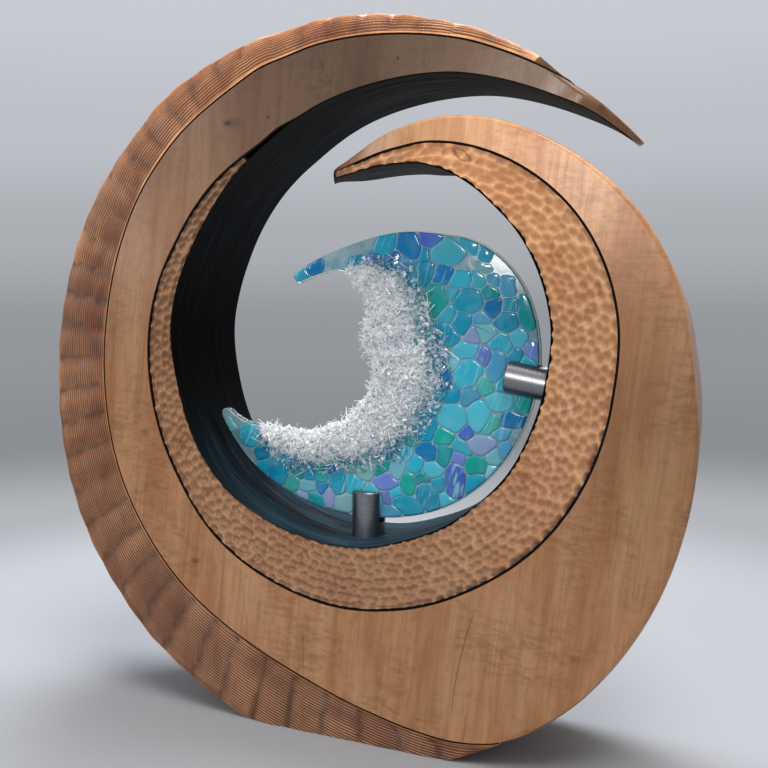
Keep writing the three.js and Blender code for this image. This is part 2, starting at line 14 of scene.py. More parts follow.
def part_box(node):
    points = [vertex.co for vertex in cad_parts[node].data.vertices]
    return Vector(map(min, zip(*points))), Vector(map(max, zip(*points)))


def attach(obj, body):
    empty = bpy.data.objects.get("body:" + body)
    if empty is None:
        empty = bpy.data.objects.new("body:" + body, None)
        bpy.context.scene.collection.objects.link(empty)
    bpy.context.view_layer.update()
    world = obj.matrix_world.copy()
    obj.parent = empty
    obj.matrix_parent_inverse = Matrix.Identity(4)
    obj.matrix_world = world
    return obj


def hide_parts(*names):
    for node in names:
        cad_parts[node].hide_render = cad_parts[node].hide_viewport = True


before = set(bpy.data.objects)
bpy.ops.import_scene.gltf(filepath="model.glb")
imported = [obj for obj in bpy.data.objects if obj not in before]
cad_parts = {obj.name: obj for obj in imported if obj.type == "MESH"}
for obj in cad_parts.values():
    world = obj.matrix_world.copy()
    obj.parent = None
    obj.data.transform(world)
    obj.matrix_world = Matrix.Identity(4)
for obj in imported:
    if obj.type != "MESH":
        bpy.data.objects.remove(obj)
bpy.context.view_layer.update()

LOG = logging.getLogger("wave")
MM = 0.001
ROOT = "root"

# The bore's centre, which every angle along the wood is measured about, and the centre of the glass's hollow
BORE_CENTRE_HEIGHT = 283.5
HOLLOW_FROM_BORE = (-46.5, -1.5)

# Camera of the photograph, in millimetres and degrees
CAMERA_PLACE = (306.28, -651.24, 332.55)
CAMERA_TURN = 23.24
CAMERA_PITCH = 6.22
CAMERA_FOCAL_SHARE = 963 / 768
SENSOR_WIDTH = 36.0


class Node(Enum):
    """Solids of the frame that this script measures or stands for."""

    FACE = "smooth_face_body"
    RIM = "ribbed_outer_rim"
    RING = "dimpled_inner_ring"
    LINER = "dark_bore_liner"
    INNER_LINE = "inner_black_line"
    OUTER_LINE = "outer_black_line"
    SHEET = "clear_base_glass"
    MOSAIC = "mosaic_glass_layer"
    HEAP = "crushed_glass_crest"


class Slot(Enum):
    """Material slots of the record."""

    OILED_MAPLE = "oiled_maple"
    RIBBED_WOOD = "ribbed_wood"
    CARVED_MAPLE = "carved_maple"
    STAINED_VENEER = "stained_veneer"
    BLACK_VENEER = "black_veneer"
    CLEAR_GLASS = "clear_glass"
    MOSAIC_GLASS = "mosaic_glass"
    CRUSHED_GLASS = "crushed_glass"
    ALUMINIUM = "brushed_aluminium"
    STEEL = "plated_steel"
    RUBBER = "black_rubber"


def linear(colour: str) -> tuple[float, float, float, float]:
    """Turn an sRGB hex colour into the linear RGBA that Blender's sockets take.

    Args:
        colour: Six hex digits after a hash.

    Returns:
        Red, green, blue and an alpha of 1.
    """
    channels = [int(colour[k:k + 2], 16) / 255 for k in (1, 3, 5)]
    lit = [c / 12.92 if c <= 0.04045 else ((c + 0.055) / 1.055) ** 2.4 for c in channels]
    return (lit[0], lit[1], lit[2], 1.0)


class Curve:
    """A smooth curve through pairs of place and value, held level past its ends."""

    def __init__(self, places: list[float], values: list[float]) -> None:
        """Keep the pairs, in order of place, with a slope at each.

        Args:
            places: Where the values are known.
            values: The values there.
        """
        order = np.argsort(places)
        self.places = np.asarray(places, float)[order]
        self.values = np.asarray(values, float)[order]
        self.slopes = np.gradient(self.values, self.places)

    def __call__(self, at: np.ndarray) -> np.ndarray:
        """Give the curve's value at each place."""
        at = np.clip(at, self.places[0], self.places[-1])
        k = np.clip(np.searchsorted(self.places, at, side="right") - 1, 0, len(self.places) - 2)
        step = self.places[k + 1] - self.places[k]
        t = (at - self.places[k]) / step
        rise = t * t * (3 - 2 * t)
        leaving = t * (1 - t) ** 2 * step * self.slopes[k]
        arriving = t * t * (t - 1) * step * self.slopes[k + 1]
        return self.values[k] * (1 - rise) + self.values[k + 1] * rise + leaving + arriving


def through(*pairs: tuple[float, float]) -> Curve:
    """Make a curve through pairs of place and value."""
    return Curve(*zip(*pairs))


def smooth_step(low: float, high: float, at: np.ndarray) -> np.ndarray:
    """Rise smoothly from 0 at low to 1 at high."""
    t = np.clip((at - low) / (high - low), 0, 1)
    return t * t * (3 - 2 * t)


class SmoothNoise:
    """Smooth random values on a grid of cells, between 0 and 1."""

    def __init__(self, seed: int, size: int = 512) -> None:
        """Draw the grid's values.

        Args:
            seed: Start of the random row.
            size: Cells along each side before the pattern comes again.
        """
        self.size = size
        self.table = np.random.default_rng(seed).random((size, size))

    def __call__(self, u: np.ndarray, v: np.ndarray) -> np.ndarray:
        """Give the value at each place, one cell being 1 wide and 1 high."""
        cell_u, cell_v = np.floor(u).astype(int), np.floor(v).astype(int)
        part_u, part_v = u - cell_u, v - cell_v
        part_u = part_u * part_u * (3 - 2 * part_u)
        part_v = part_v * part_v * (3 - 2 * part_v)
        here, after = cell_u % self.size, (cell_u + 1) % self.size
        low, high = cell_v % self.size, (cell_v + 1) % self.size
        bottom = self.table[here, low] * (1 - part_u) + self.table[after, low] * part_u
        top = self.table[here, high] * (1 - part_u) + self.table[after, high] * part_u
        return bottom * (1 - part_v) + top * part_v


def finished(mesh_maker: bmesh.types.BMesh, name: str, sharp: float = 40.0) -> bpy.types.Object:
    """Turn a bmesh into an object of the scene, shaded smooth except across sharp edges.

    Args:
        mesh_maker: The bmesh, which is freed.
        name: The object's name.
        sharp: Edges that turn more than this many degrees stay sharp.

    Returns:
        The object, at the origin and unturned.
    """
    mesh = bpy.data.meshes.new(name)
    mesh_maker.to_mesh(mesh)
    mesh_maker.free()
    for polygon in mesh.polygons:
        polygon.use_smooth = True
    mesh.set_sharp_from_angle(angle=math.radians(sharp))
    made = bpy.data.objects.new(name, mesh)
    bpy.context.scene.collection.objects.link(made)
    return made


def body_through(name: str, grid: np.ndarray, fields: dict[str, np.ndarray] | None = None,
                 level_cut: bool = False, sharp: float = 40.0) -> bpy.types.Object:
    """Make a closed body from a grid of points: rows run round its section, and columns along the wood.

    Args:
        name: The object's name.
        grid: Points in metres, stations by rows by 3.
        fields: Values to keep on the points, stations by rows each.
        level_cut: Whether what lies below the table is cut away.
        sharp: Edges that turn more than this many degrees stay sharp.

    Returns:
        The object.
    """
    stations, rows, _ = grid.shape
    closed = np.concatenate([grid, grid[:, :1]], axis=1).reshape(-1, 3)
    bm = bmesh.new()
    bmesh.ops.create_grid(bm, x_segments=rows, y_segments=stations - 1, size=1)
    flat = bpy.data.meshes.new(name + "_flat")
    bm.to_mesh(flat)
    flat.vertices.foreach_set("co", closed.ravel())
    for kept, values in (fields or {}).items():
        row = np.concatenate([values, values[:, :1]], axis=1).ravel()
        flat.attributes.new(kept, "FLOAT", "POINT").data.foreach_set("value", row)
    bm.clear()
    bm.from_mesh(flat)
    bpy.data.meshes.remove(flat)
    bmesh.ops.remove_doubles(bm, verts=bm.verts, dist=1e-6)
    bmesh.ops.dissolve_degenerate(bm, edges=bm.edges, dist=1e-6)
    if level_cut:
        everything = list(bm.verts) + list(bm.edges) + list(bm.faces)
        bmesh.ops.bisect_plane(bm, geom=everything, plane_co=(0, 0, 0), plane_no=(0, 0, -1), clear_outer=True)
    bmesh.ops.holes_fill(bm, edges=[edge for edge in bm.edges if edge.is_boundary], sides=0)
    bmesh.ops.recalc_face_normals(bm, faces=bm.faces)
    return finished(bm, name, sharp)


@dataclass
class BandEdges:
    """The front edges of one band of wood at one station of the frame."""

    inner: float
    outer: float
    outer_depth: float
    deepest: float
    lift: float
    outer_lift: float


class WoodShape:
    """The wood's bands, measured on the frame's solids and made smooth between their stations."""

    BANDS = (Node.FACE, Node.RIM, Node.RING, Node.LINER, Node.INNER_LINE, Node.OUTER_LINE)
    # The frame's stations in degrees: the two ends, and even steps from the second one on
    ENDS = (35, 462)
    SECOND = 42
    STEP = 6
    STATION_TOLERANCE = 0.02
    # Points along a band that its length is measured on
    SAMPLES = 2000
    # The arm lies outside this radius at its tip, which falls by so much each degree; the curl lies inside it
    ARM_LIES_OUTSIDE = 218.0
    ARM_LIMIT_FALL = 1.09
    ARM_ENDS_BY = 103
    BEVEL_SLOPE = 0.3
    BEVEL_SHARE = 0.6
    # Where the flat has cut the rim away: its outer radius and rounding before the cut
    CUT_AWAY = {252: (299.1, 14.3), 258: (300.0, 10.9), 264: (301.4, 8.2), 270: (302.9, 6.0),
                276: (302.3, 4.4), 282: (300.0, 3.6), 288: (294.6, 3.7)}
    # How far the photographed bore lies outside the solids' one, in millimetres by angle
    BORE_MOVE = through((118, 0), (132, -1), (150, -1.3), (162, -1.9), (174, -1.8), (186, -2.9),
                        (192, -3.1), (204, -2.3), (216, -1.4), (228, -1.5), (246, -2.8), (258, -2.2),
                        (270, -2.3), (276, -2.7), (288, -5.4), (300, -6.1), (312, -7), (324, -5.2),
                        (336, -3.9), (348, -2.1), (366, -2.7), (375, -3.7), (384, -3), (396, -0.8),
                        (408, 0))
    # The same for the curl's inner line near its tip
    CURL_MOVE = through((430, 0), (438, 0.8), (444, 1.9), (450, 2.4), (456, 3.4), (462, 0))
    # The same for the wave's outer edge, on the rim and on the face
    EDGE_MOVE = through((52, 0), (72, 1), (84, 1.3), (102, 2.6), (108, 3.6), (120, 6.1), (126, 6.9),
                        (132, 6.5), (138, 5), (150, 4.8), (162, 3.8), (186, 4.6), (204, 5.7), (222, 6.1),
                        (240, 5.8), (246, 3.6), (252, 0), (294, 0.2), (300, 1.1), (312, 0.5), (318, 0.9),
                        (330, 4.2), (342, 8.5), (348, 10.1), (360, 8.7), (372, 9.8), (384, 7.3),
                        (396, 3.6), (402, 2.2), (420, 1.9), (432, 0.9), (450, 0.5), (456, 1.3),
                        (462, -0.6))
    # How far the face's outer edge comes in towards the back
    BACK_TAPER = through((318, 0), (330, -3.9), (342, -7.4), (354, -6), (366, -7.3), (378, -9.7),
                         (390, -7.7), (402, -1.9), (408, 0))
    # Rounding of the outer edge along the arm and along the wave's right side, and where each holds
    ARM_ROUNDING = through((48, 4), (60, 4.9), (72, 8), (84, 12.4), (96, 16.5), (108, 19.8))
    ARM_ROUNDED = (45, 105)
    SIDE_ROUNDING = 2.6
    SIDE_ROUNDED = (297, 441)
    # Stations at the curl's tip that the ring runs on to, its black line's width there, and their gap
    TIP_STATIONS = (450, 456)
    TIP_LINE_WIDTH = 1.1
    TIP_GAP = 0.1
    # Share of the black lines' width, and of the liner's, that the wood beside them takes up
    LINE_SPARE = 0.42
    LINER_SPARE = 0.6

    def __init__(self) -> None:
        """Measure every band."""
        low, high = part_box("lower_clamp_bar")
        self.centre_x = (low.x + high.x) / 2 / MM
        self.edges = {node: self.measured(node) for node in self.BANDS}
        self.move_edges()
        self.narrow_lines()
        self.inner = {node: self.curve(found, "inner") for node, found in self.edges.items()}
        self.outer = {node: self.curve(found, "outer") for node, found in self.edges.items()}
        face = self.edges[Node.FACE]
        self.half = self.curve(face, "deepest")
        self.lift = self.curve(face, "lift")
        self.outer_lift = self.curve(face, "outer_lift")
        bevel, edge, rounding = {}, {}, {}
        for angle in face:
            line = self.edges[Node.INNER_LINE].get(angle)
            bevel[angle] = line.inner if line else face[angle].inner
            here = [bands[angle] for bands in self.edges.values() if angle in bands]
            outermost = max(here, key=lambda band: band.outer)
            edge[angle] = outermost.outer
            rounding[angle] = face[angle].deepest - outermost.outer_depth
            if self.ARM_ROUNDED[0] < angle < self.ARM_ROUNDED[1]:
                rounding[angle] = float(self.ARM_ROUNDING(angle))
            elif self.SIDE_ROUNDED[0] < angle < self.SIDE_ROUNDED[1]:
                rounding[angle] = self.SIDE_ROUNDING
            if angle in self.CUT_AWAY:
                edge[angle], rounding[angle] = self.CUT_AWAY[angle]
        for angle, (radius, _) in self.CUT_AWAY.items():
            self.edges[Node.RIM][angle].outer = radius
        self.outer[Node.RIM] = self.curve(self.edges[Node.RIM], "outer")
        self.bevel_edge = Curve(list(bevel), list(bevel.values()))
        self.edge = Curve(list(edge), list(edge.values()))
        self.rounding = Curve(list(rounding), list(rounding.values()))

    def move_edges(self) -> None:
        """Move the solids' edges to the photographed ones, and run the ring on to the curl's tip."""
        for angle, liner in self.edges[Node.LINER].items():
            liner.inner += float(self.BORE_MOVE(angle))
            liner.outer += float(self.BORE_MOVE(angle))
        for angle, rim in self.edges[Node.RIM].items():
            rim.outer += float(self.EDGE_MOVE(angle))
        for angle, face in self.edges[Node.FACE].items():
            face.inner += float(self.CURL_MOVE(angle))
            if angle > self.SIDE_ROUNDED[0]:
                face.outer += float(self.EDGE_MOVE(angle))
                face.outer_lift += float(self.BACK_TAPER(angle))
        for node, inner_move in ((Node.RING, self.BORE_MOVE), (Node.INNER_LINE, self.CURL_MOVE)):
            for angle, band in self.edges[node].items():
                band.inner += float(inner_move(angle))
                band.outer += float(self.CURL_MOVE(angle))
        for angle in self.TIP_STATIONS:
            face = self.edges[Node.FACE][angle]
            start, line = self.edges[Node.LINER][angle].outer + self.TIP_GAP, face.inner - self.TIP_LINE_WIDTH
            self.edges[Node.RING][angle] = replace(face, inner=start, outer=line - self.TIP_GAP)
            self.edges[Node.INNER_LINE][angle] = replace(face, inner=line, outer=face.inner)

    def narrow_lines(self) -> None:
        """Let the wood beside the black lines and behind the liner take up some of their width."""
        for angle, liner in self.edges[Node.LINER].items():
            spare = (liner.outer - liner.inner) * self.LINER_SPARE
            liner.outer -= spare
            if angle in self.edges[Node.RING]:
                self.edges[Node.RING][angle].inner -= spare
            elif angle not in self.edges[Node.INNER_LINE]:
                self.edges[Node.FACE][angle].inner -= spare
        neighbours = ((Node.INNER_LINE, Node.RING, Node.FACE), (Node.OUTER_LINE, Node.FACE, Node.RIM))
        for node, inside, outside in neighbours:
            for angle, line in self.edges[node].items():
                spare = (line.outer - line.inner) * self.LINE_SPARE / 2
                line.inner += spare
                line.outer -= spare
                if angle in self.edges[inside]:
                    self.edges[inside][angle].outer += spare
                if angle in self.edges[outside]:
                    self.edges[outside][angle].inner -= spare

    @staticmethod
    def curve(found: dict[int, BandEdges], what: str) -> Curve:
        """Make a curve of one measure along a band."""
        return Curve(list(found), [getattr(edges, what) for edges in found.values()])

    def measured(self, node: Node) -> dict[int, BandEdges]:
        """Find a band's edges at each station of the frame.

        Args:
            node: The band's solid.

        Returns:
            The edges, by the station's angle.
        """
        points = np.array([vertex.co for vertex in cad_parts[node.value].data.vertices]) / MM
        across, up = points[:, 0] - self.centre_x, points[:, 2] - BORE_CENTRE_HEIGHT
        radius = np.hypot(across, up)
        angle = np.degrees(np.arctan2(up, across)) % 360
        limit = self.ARM_LIES_OUTSIDE - self.ARM_LIMIT_FALL * (angle - self.ENDS[0])
        on_arm = (radius > limit) & (angle > self.ENDS[0] - 1)
        angle = np.where((angle < self.ARM_ENDS_BY) & ~on_arm, angle + 360, angle)
        found = {}
        for station in [self.ENDS[0], *range(self.SECOND, self.ENDS[1] + 1, self.STEP)]:
            near = np.abs(angle - station) < self.STATION_TOLERANCE
            front, back = near & (points[:, 1] < 0), near & (points[:, 1] > 0)
            if front.sum() < 2 or back.sum() < 2:
                continue
            last = np.argmax(np.where(front, radius, 0))
            found[station] = BandEdges(
                inner=float(radius[front].min()),
                outer=float(radius[last]),
                outer_depth=float(-points[last, 1]),
                deepest=float(-points[front, 1].min()),
                lift=float(radius[back].min() - radius[front].min()),
                outer_lift=float(radius[back].max() - radius[last]),
            )
        return found

    def span(self, node: Node) -> tuple[float, float]:
        """Say where a band starts and ends, in degrees."""
        return min(self.edges[node]), max(self.edges[node])

    def angles(self, node: Node, step: float) -> np.ndarray:
        """Space stations along a band, as a column.

        Args:
            node: The band's solid.
            step: Space between them in millimetres, at the band's outer edge.

        Returns:
            Angles in degrees, one to a row.
        """
        start, end = self.span(node)
        fine = np.linspace(start, end, self.SAMPLES)
        length = np.concatenate([[0], np.cumsum(np.radians(np.diff(fine)) * self.outer[node](fine[1:]))])
        count = int(length[-1] / step)
        return np.interp(np.linspace(0, length[-1], count), length, fine)[:, None]

    def along(self, node: Node, angles: np.ndarray) -> np.ndarray:
        """Measure each station's place along a band's outer edge, in millimetres."""
        radius = self.outer[node](angles)
        steps = np.radians(np.diff(angles, axis=0)) * (radius[1:] + radius[:-1]) / 2
        return np.concatenate([[[0.0]], np.cumsum(steps, axis=0)])

    def bevel_depth(self, angles: np.ndarray, radius: np.ndarray) -> np.ndarray:
        """Say how far the ring's slope lies behind the face's plane."""
        slope = self.BEVEL_SLOPE * np.maximum(0, self.bevel_edge(angles) - radius)
        return np.minimum(slope, self.BEVEL_SHARE * self.half(angles))

    def front_path(self, angles: np.ndarray, start: np.ndarray, run: np.ndarray) -> list[np.ndarray]:
        """Follow the front from one radius outwards: over the flat, round the edge and on along the side.

        Args:
            angles: Stations, as a column.
            start: Radius that the path starts at, as a column.
            run: Distance along the path, stations by rows.

        Returns:
            Radius, depth along Y, and the outward normal's two parts, all stations by rows.
        """
        edge, rounding, half = self.edge(angles), self.rounding(angles), self.half(angles)
        flat = np.maximum(0, edge - rounding - start)
        first_turn = np.arcsin(np.clip((start - (edge - rounding)) / rounding, 0, 1))
        arc = rounding * (math.pi / 2 - first_turn)
        turn = first_turn + np.clip((run - flat) / rounding, 0, math.pi / 2 - first_turn)
        turn = np.where(run < flat, 0, turn)
        radius = np.where(run < flat, start + run, edge - rounding + rounding * np.sin(turn))
        past = np.maximum(0, run - flat - arc)
        depth = -half + rounding * (1 - np.cos(turn)) + past
        return [radius, depth, np.sin(turn), -np.cos(turn)]

    def back_shift(self, node: Node, angles: np.ndarray, radius: np.ndarray) -> np.ndarray:
        """Say how far outside its twin on the front a point on a band's back lies."""
        start, end = self.inner[node](angles), self.outer[node](angles)
        share = np.clip((radius - start) / (end - start), 0, 1)
        outer = self.outer_lift(angles) if node is Node.FACE else self.lift(angles)
        return self.lift(angles) * (1 - share) + outer * share

    def path_length(self, angles: np.ndarray, start: np.ndarray, end: np.ndarray) -> np.ndarray:
        """Measure the front's path from one radius to another."""
        edge, rounding = self.edge(angles), self.rounding(angles)
        bend = edge - rounding
        turn = [np.arcsin(np.clip((radius - bend) / rounding, 0, 1)) for radius in (start, end)]
        return np.maximum(0, np.minimum(end, bend) - start) + rounding * (turn[1] - turn[0])

    def placed(self, angles: np.ndarray, radius: np.ndarray, depth: np.ndarray) -> np.ndarray:
        """Turn angles, radii and depths into points in metres."""
        turn = np.radians(angles)
        across = self.centre_x + radius * np.cos(turn)
        up = BORE_CENTRE_HEIGHT + radius * np.sin(turn)
        return np.stack(np.broadcast_arrays(across, depth, up), axis=-1) * MM


class Nodes:
    """A node tree under construction."""

    def __init__(self, tree: bpy.types.NodeTree) -> None:
        """Start with the tree empty."""
        self.tree = tree
        self.tree.nodes.clear()

    def add(self, kind: str, inputs: dict | None = None, **settings: object) -> bpy.types.Node:
        """Add a node with its settings and links.

        Args:
            kind: The node's type.
            inputs: Values, hex colours or sockets for its inputs, by name or number.
            settings: The node's own properties.

        Returns:
            The node.
        """
        made = self.tree.nodes.new(kind)
        for key, value in settings.items():
            setattr(made, key, value)
        for key, value in (inputs or {}).items():
            if isinstance(value, bpy.types.NodeSocket):
                self.tree.links.new(value, made.inputs[key])
            else:
                made.inputs[key].default_value = linear(value) if isinstance(value, str) else value
        return made


class Surface(Nodes):
    """A material under construction: its nodes, and the shader that they end in."""

    # The values that a noise pattern mostly lies between
    NOISE_RANGE = (0.3, 0.7)

    def __init__(self, name: str, **constants: float | str) -> None:
        """Start a material.

        Args:
            name: What the real surface is.
            constants: Values that are the same all over, by the shader's socket, with _ for a space.
        """
        self.material = bpy.data.materials.new(name)
        self.material.use_nodes = True
        super().__init__(self.material.node_tree)
        self.shader = self.add("ShaderNodeBsdfPrincipled",
                               {socket.replace("_", " "): value for socket, value in constants.items()})
        self.add("ShaderNodeOutputMaterial", {"Surface": self.shader.outputs[0]})

    def drive(self, socket: str, source: bpy.types.NodeSocket) -> None:
        """Let a socket of the shader follow a node."""
        self.tree.links.new(source, self.shader.inputs[socket])

    def grain(self, lean: float, cell: tuple[float, float, float], detail: float = 2.0,
              distortion: float = 0.0, shift: float = 0.0) -> bpy.types.NodeSocket:
        """Make a noise pattern that is drawn out along the wood's grain.

        Args:
            lean: Degrees that the grain leans to the right, going up.
            cell: Size of the pattern in millimetres across, through and along the grain.
            detail: Octaves of the noise.
            distortion: How far it wanders.
            shift: Moves the pattern, so that two layers don't match.

        Returns:
            The noise's value.
        """
        place = self.add("ShaderNodeTexCoord").outputs["Object"]
        turned = self.add("ShaderNodeMapping", {"Vector": place, "Rotation": (0, -math.radians(lean), 0)})
        scale = tuple(1 / (size * MM) for size in cell)
        scaled = self.add("ShaderNodeMapping", {"Vector": turned.outputs[0], "Scale": scale,
                                                "Location": (shift, shift, shift)})
        made = self.add("ShaderNodeTexNoise", {"Vector": scaled.outputs[0], "Scale": 1.0, "Detail": detail,
                                               "Roughness": 0.55, "Distortion": distortion})
        return made.outputs[0]

    def overlaid(self, below: bpy.types.NodeSocket | str, above: bpy.types.NodeSocket | str,
                 pattern: bpy.types.NodeSocket, span: tuple[float, float] | None = None,
                 most: float = 1.0) -> bpy.types.NodeSocket:
        """Lay one colour over another where a pattern is high.

        Args:
            below: The colour below.
            above: The colour laid over it.
            pattern: The pattern's value.
            span: Values at which the upper colour starts and is at its most; none takes the value itself.
            most: The upper colour's greatest share.

        Returns:
            The colour that shows.
        """
        if span:
            made = self.add("ShaderNodeMapRange", {"Value": pattern, 1: span[0], 2: span[1], 3: 0.0, 4: most},
                            interpolation_type="SMOOTHSTEP")
        else:
            made = self.add("ShaderNodeMath", {0: pattern, 1: most}, operation="MULTIPLY")
        share = made.outputs[0]
        return self.add("ShaderNodeMix", {0: share, 6: below, 7: above}, data_type="RGBA").outputs[2]

    def with_painted_light(self, colour: bpy.types.NodeSocket) -> bpy.types.NodeSocket:
        """Multiply a colour by the tone that the mesh keeps: the painted light and shade along the wave."""
        tone = self.add("ShaderNodeAttribute", attribute_name="tone").outputs["Fac"]
        grey = self.add("ShaderNodeCombineColor", {0: tone, 1: tone, 2: tone}).outputs[0]
        made = self.add("ShaderNodeMix", {0: 1.0, 6: colour, 7: grey}, data_type="RGBA",
                        blend_type="MULTIPLY")
        return made.outputs[2]

    def finish(self, colour: bpy.types.NodeSocket | None, relief: bpy.types.NodeSocket | None = None,
               height: float = 0.0, strength: float = 0.5,
               rough: tuple[float, float] | None = None) -> bpy.types.Material:
        """End the material with its colour, and with relief and roughness that follow one pattern.

        Args:
            colour: The colour, where it isn't the same all over.
            relief: The pattern.
            height: The relief's full height in millimetres.
            strength: The share of it that shows.
            rough: Roughness where the pattern is low and where it is high.

        Returns:
            The material.
        """
        if colour is not None:
            self.drive("Base Color", colour)
        if rough is not None:
            low, high = self.NOISE_RANGE
            made = self.add("ShaderNodeMapRange", {"Value": relief, 1: low, 2: high, 3: rough[0],
                                                   4: rough[1]})
            self.drive("Roughness", made.outputs[0])
        if relief is not None:
            made = self.add("ShaderNodeBump", {"Height": relief, "Distance": height * MM,
                                               "Strength": strength})
            self.drive("Normal", made.outputs[0])
        return self.material


@dataclass(frozen=True)
class PaintedLightAndShade:
    """How light the wood is painted along the wave, standing for how the light falls: darker towards the arm,
    painted shade at the curl's tip, and a painted sheen that makes the curl's top pale.
    """

    by_angle: tuple[tuple[float, float], ...]

    def __call__(self, angles: np.ndarray) -> np.ndarray:
        """Give the painted lightness at each angle, 1 for the finish's own colour."""
        return through(*self.by_angle)(angles)


# Painted light and shade by angle. Face: a painted sheen on the curl's shoulder, painted shade at the curl's
# tip, darker along the arm. Ring: painted lighter on the curl's top than along its bottom. Rim: painted
# lighter along the arm's top, which the light falls on from above. Liner: painted lighter at the bore's
# bottom, which faces up into the light, and darker under the arm.
FACE_PAINTED_LIGHT = PaintedLightAndShade(((35, 0.48), (50, 0.4), (70, 0.26), (105, 0.25), (130, 0.46), (155, 0.62), (190, 0.72),
                  (240, 0.78), (285, 0.79), (320, 0.76), (350, 0.62), (370, 0.84), (390, 1.4), (410, 1.7),
                  (430, 1.3), (444, 0.7), (456, 0.35), (462, 0.3)))
RING_PAINTED_LIGHT = PaintedLightAndShade(((118, 0.38), (150, 0.42), (200, 0.46), (250, 0.44), (290, 0.45), (320, 0.6),
                  (345, 0.78), (370, 0.9), (395, 1.35), (425, 1.6), (440, 1.2), (456, 0.6)))
RIM_PAINTED_LIGHT = PaintedLightAndShade(((46, 1.6), (80, 1.6), (120, 1.45), (150, 1.12), (200, 0.94), (240, 0.88), (290, 0.85)))
LINER_PAINTED_LIGHT = PaintedLightAndShade(((35, 0.3), (70, 0.3), (110, 0.3), (140, 0.25), (200, 0.2), (225, 1.4), (250, 3.0),
                   (290, 3.2), (330, 1.6), (400, 0.6), (462, 0.4)))


@dataclass(frozen=True)
class Knot:
    """A small knot in the face: its place in millimetres, its size and how dark it is."""

    x: float
    z: float
    across: float
    up: float
    strength: float


@dataclass(frozen=True)
class Hairline:
    """A thin dark grain line: place at mid height, lean, bow, reach up and down, width and darkness."""

    x: float
    z: float
    lean: float
    bow: float
    reach: float
    width: float
    strength: float


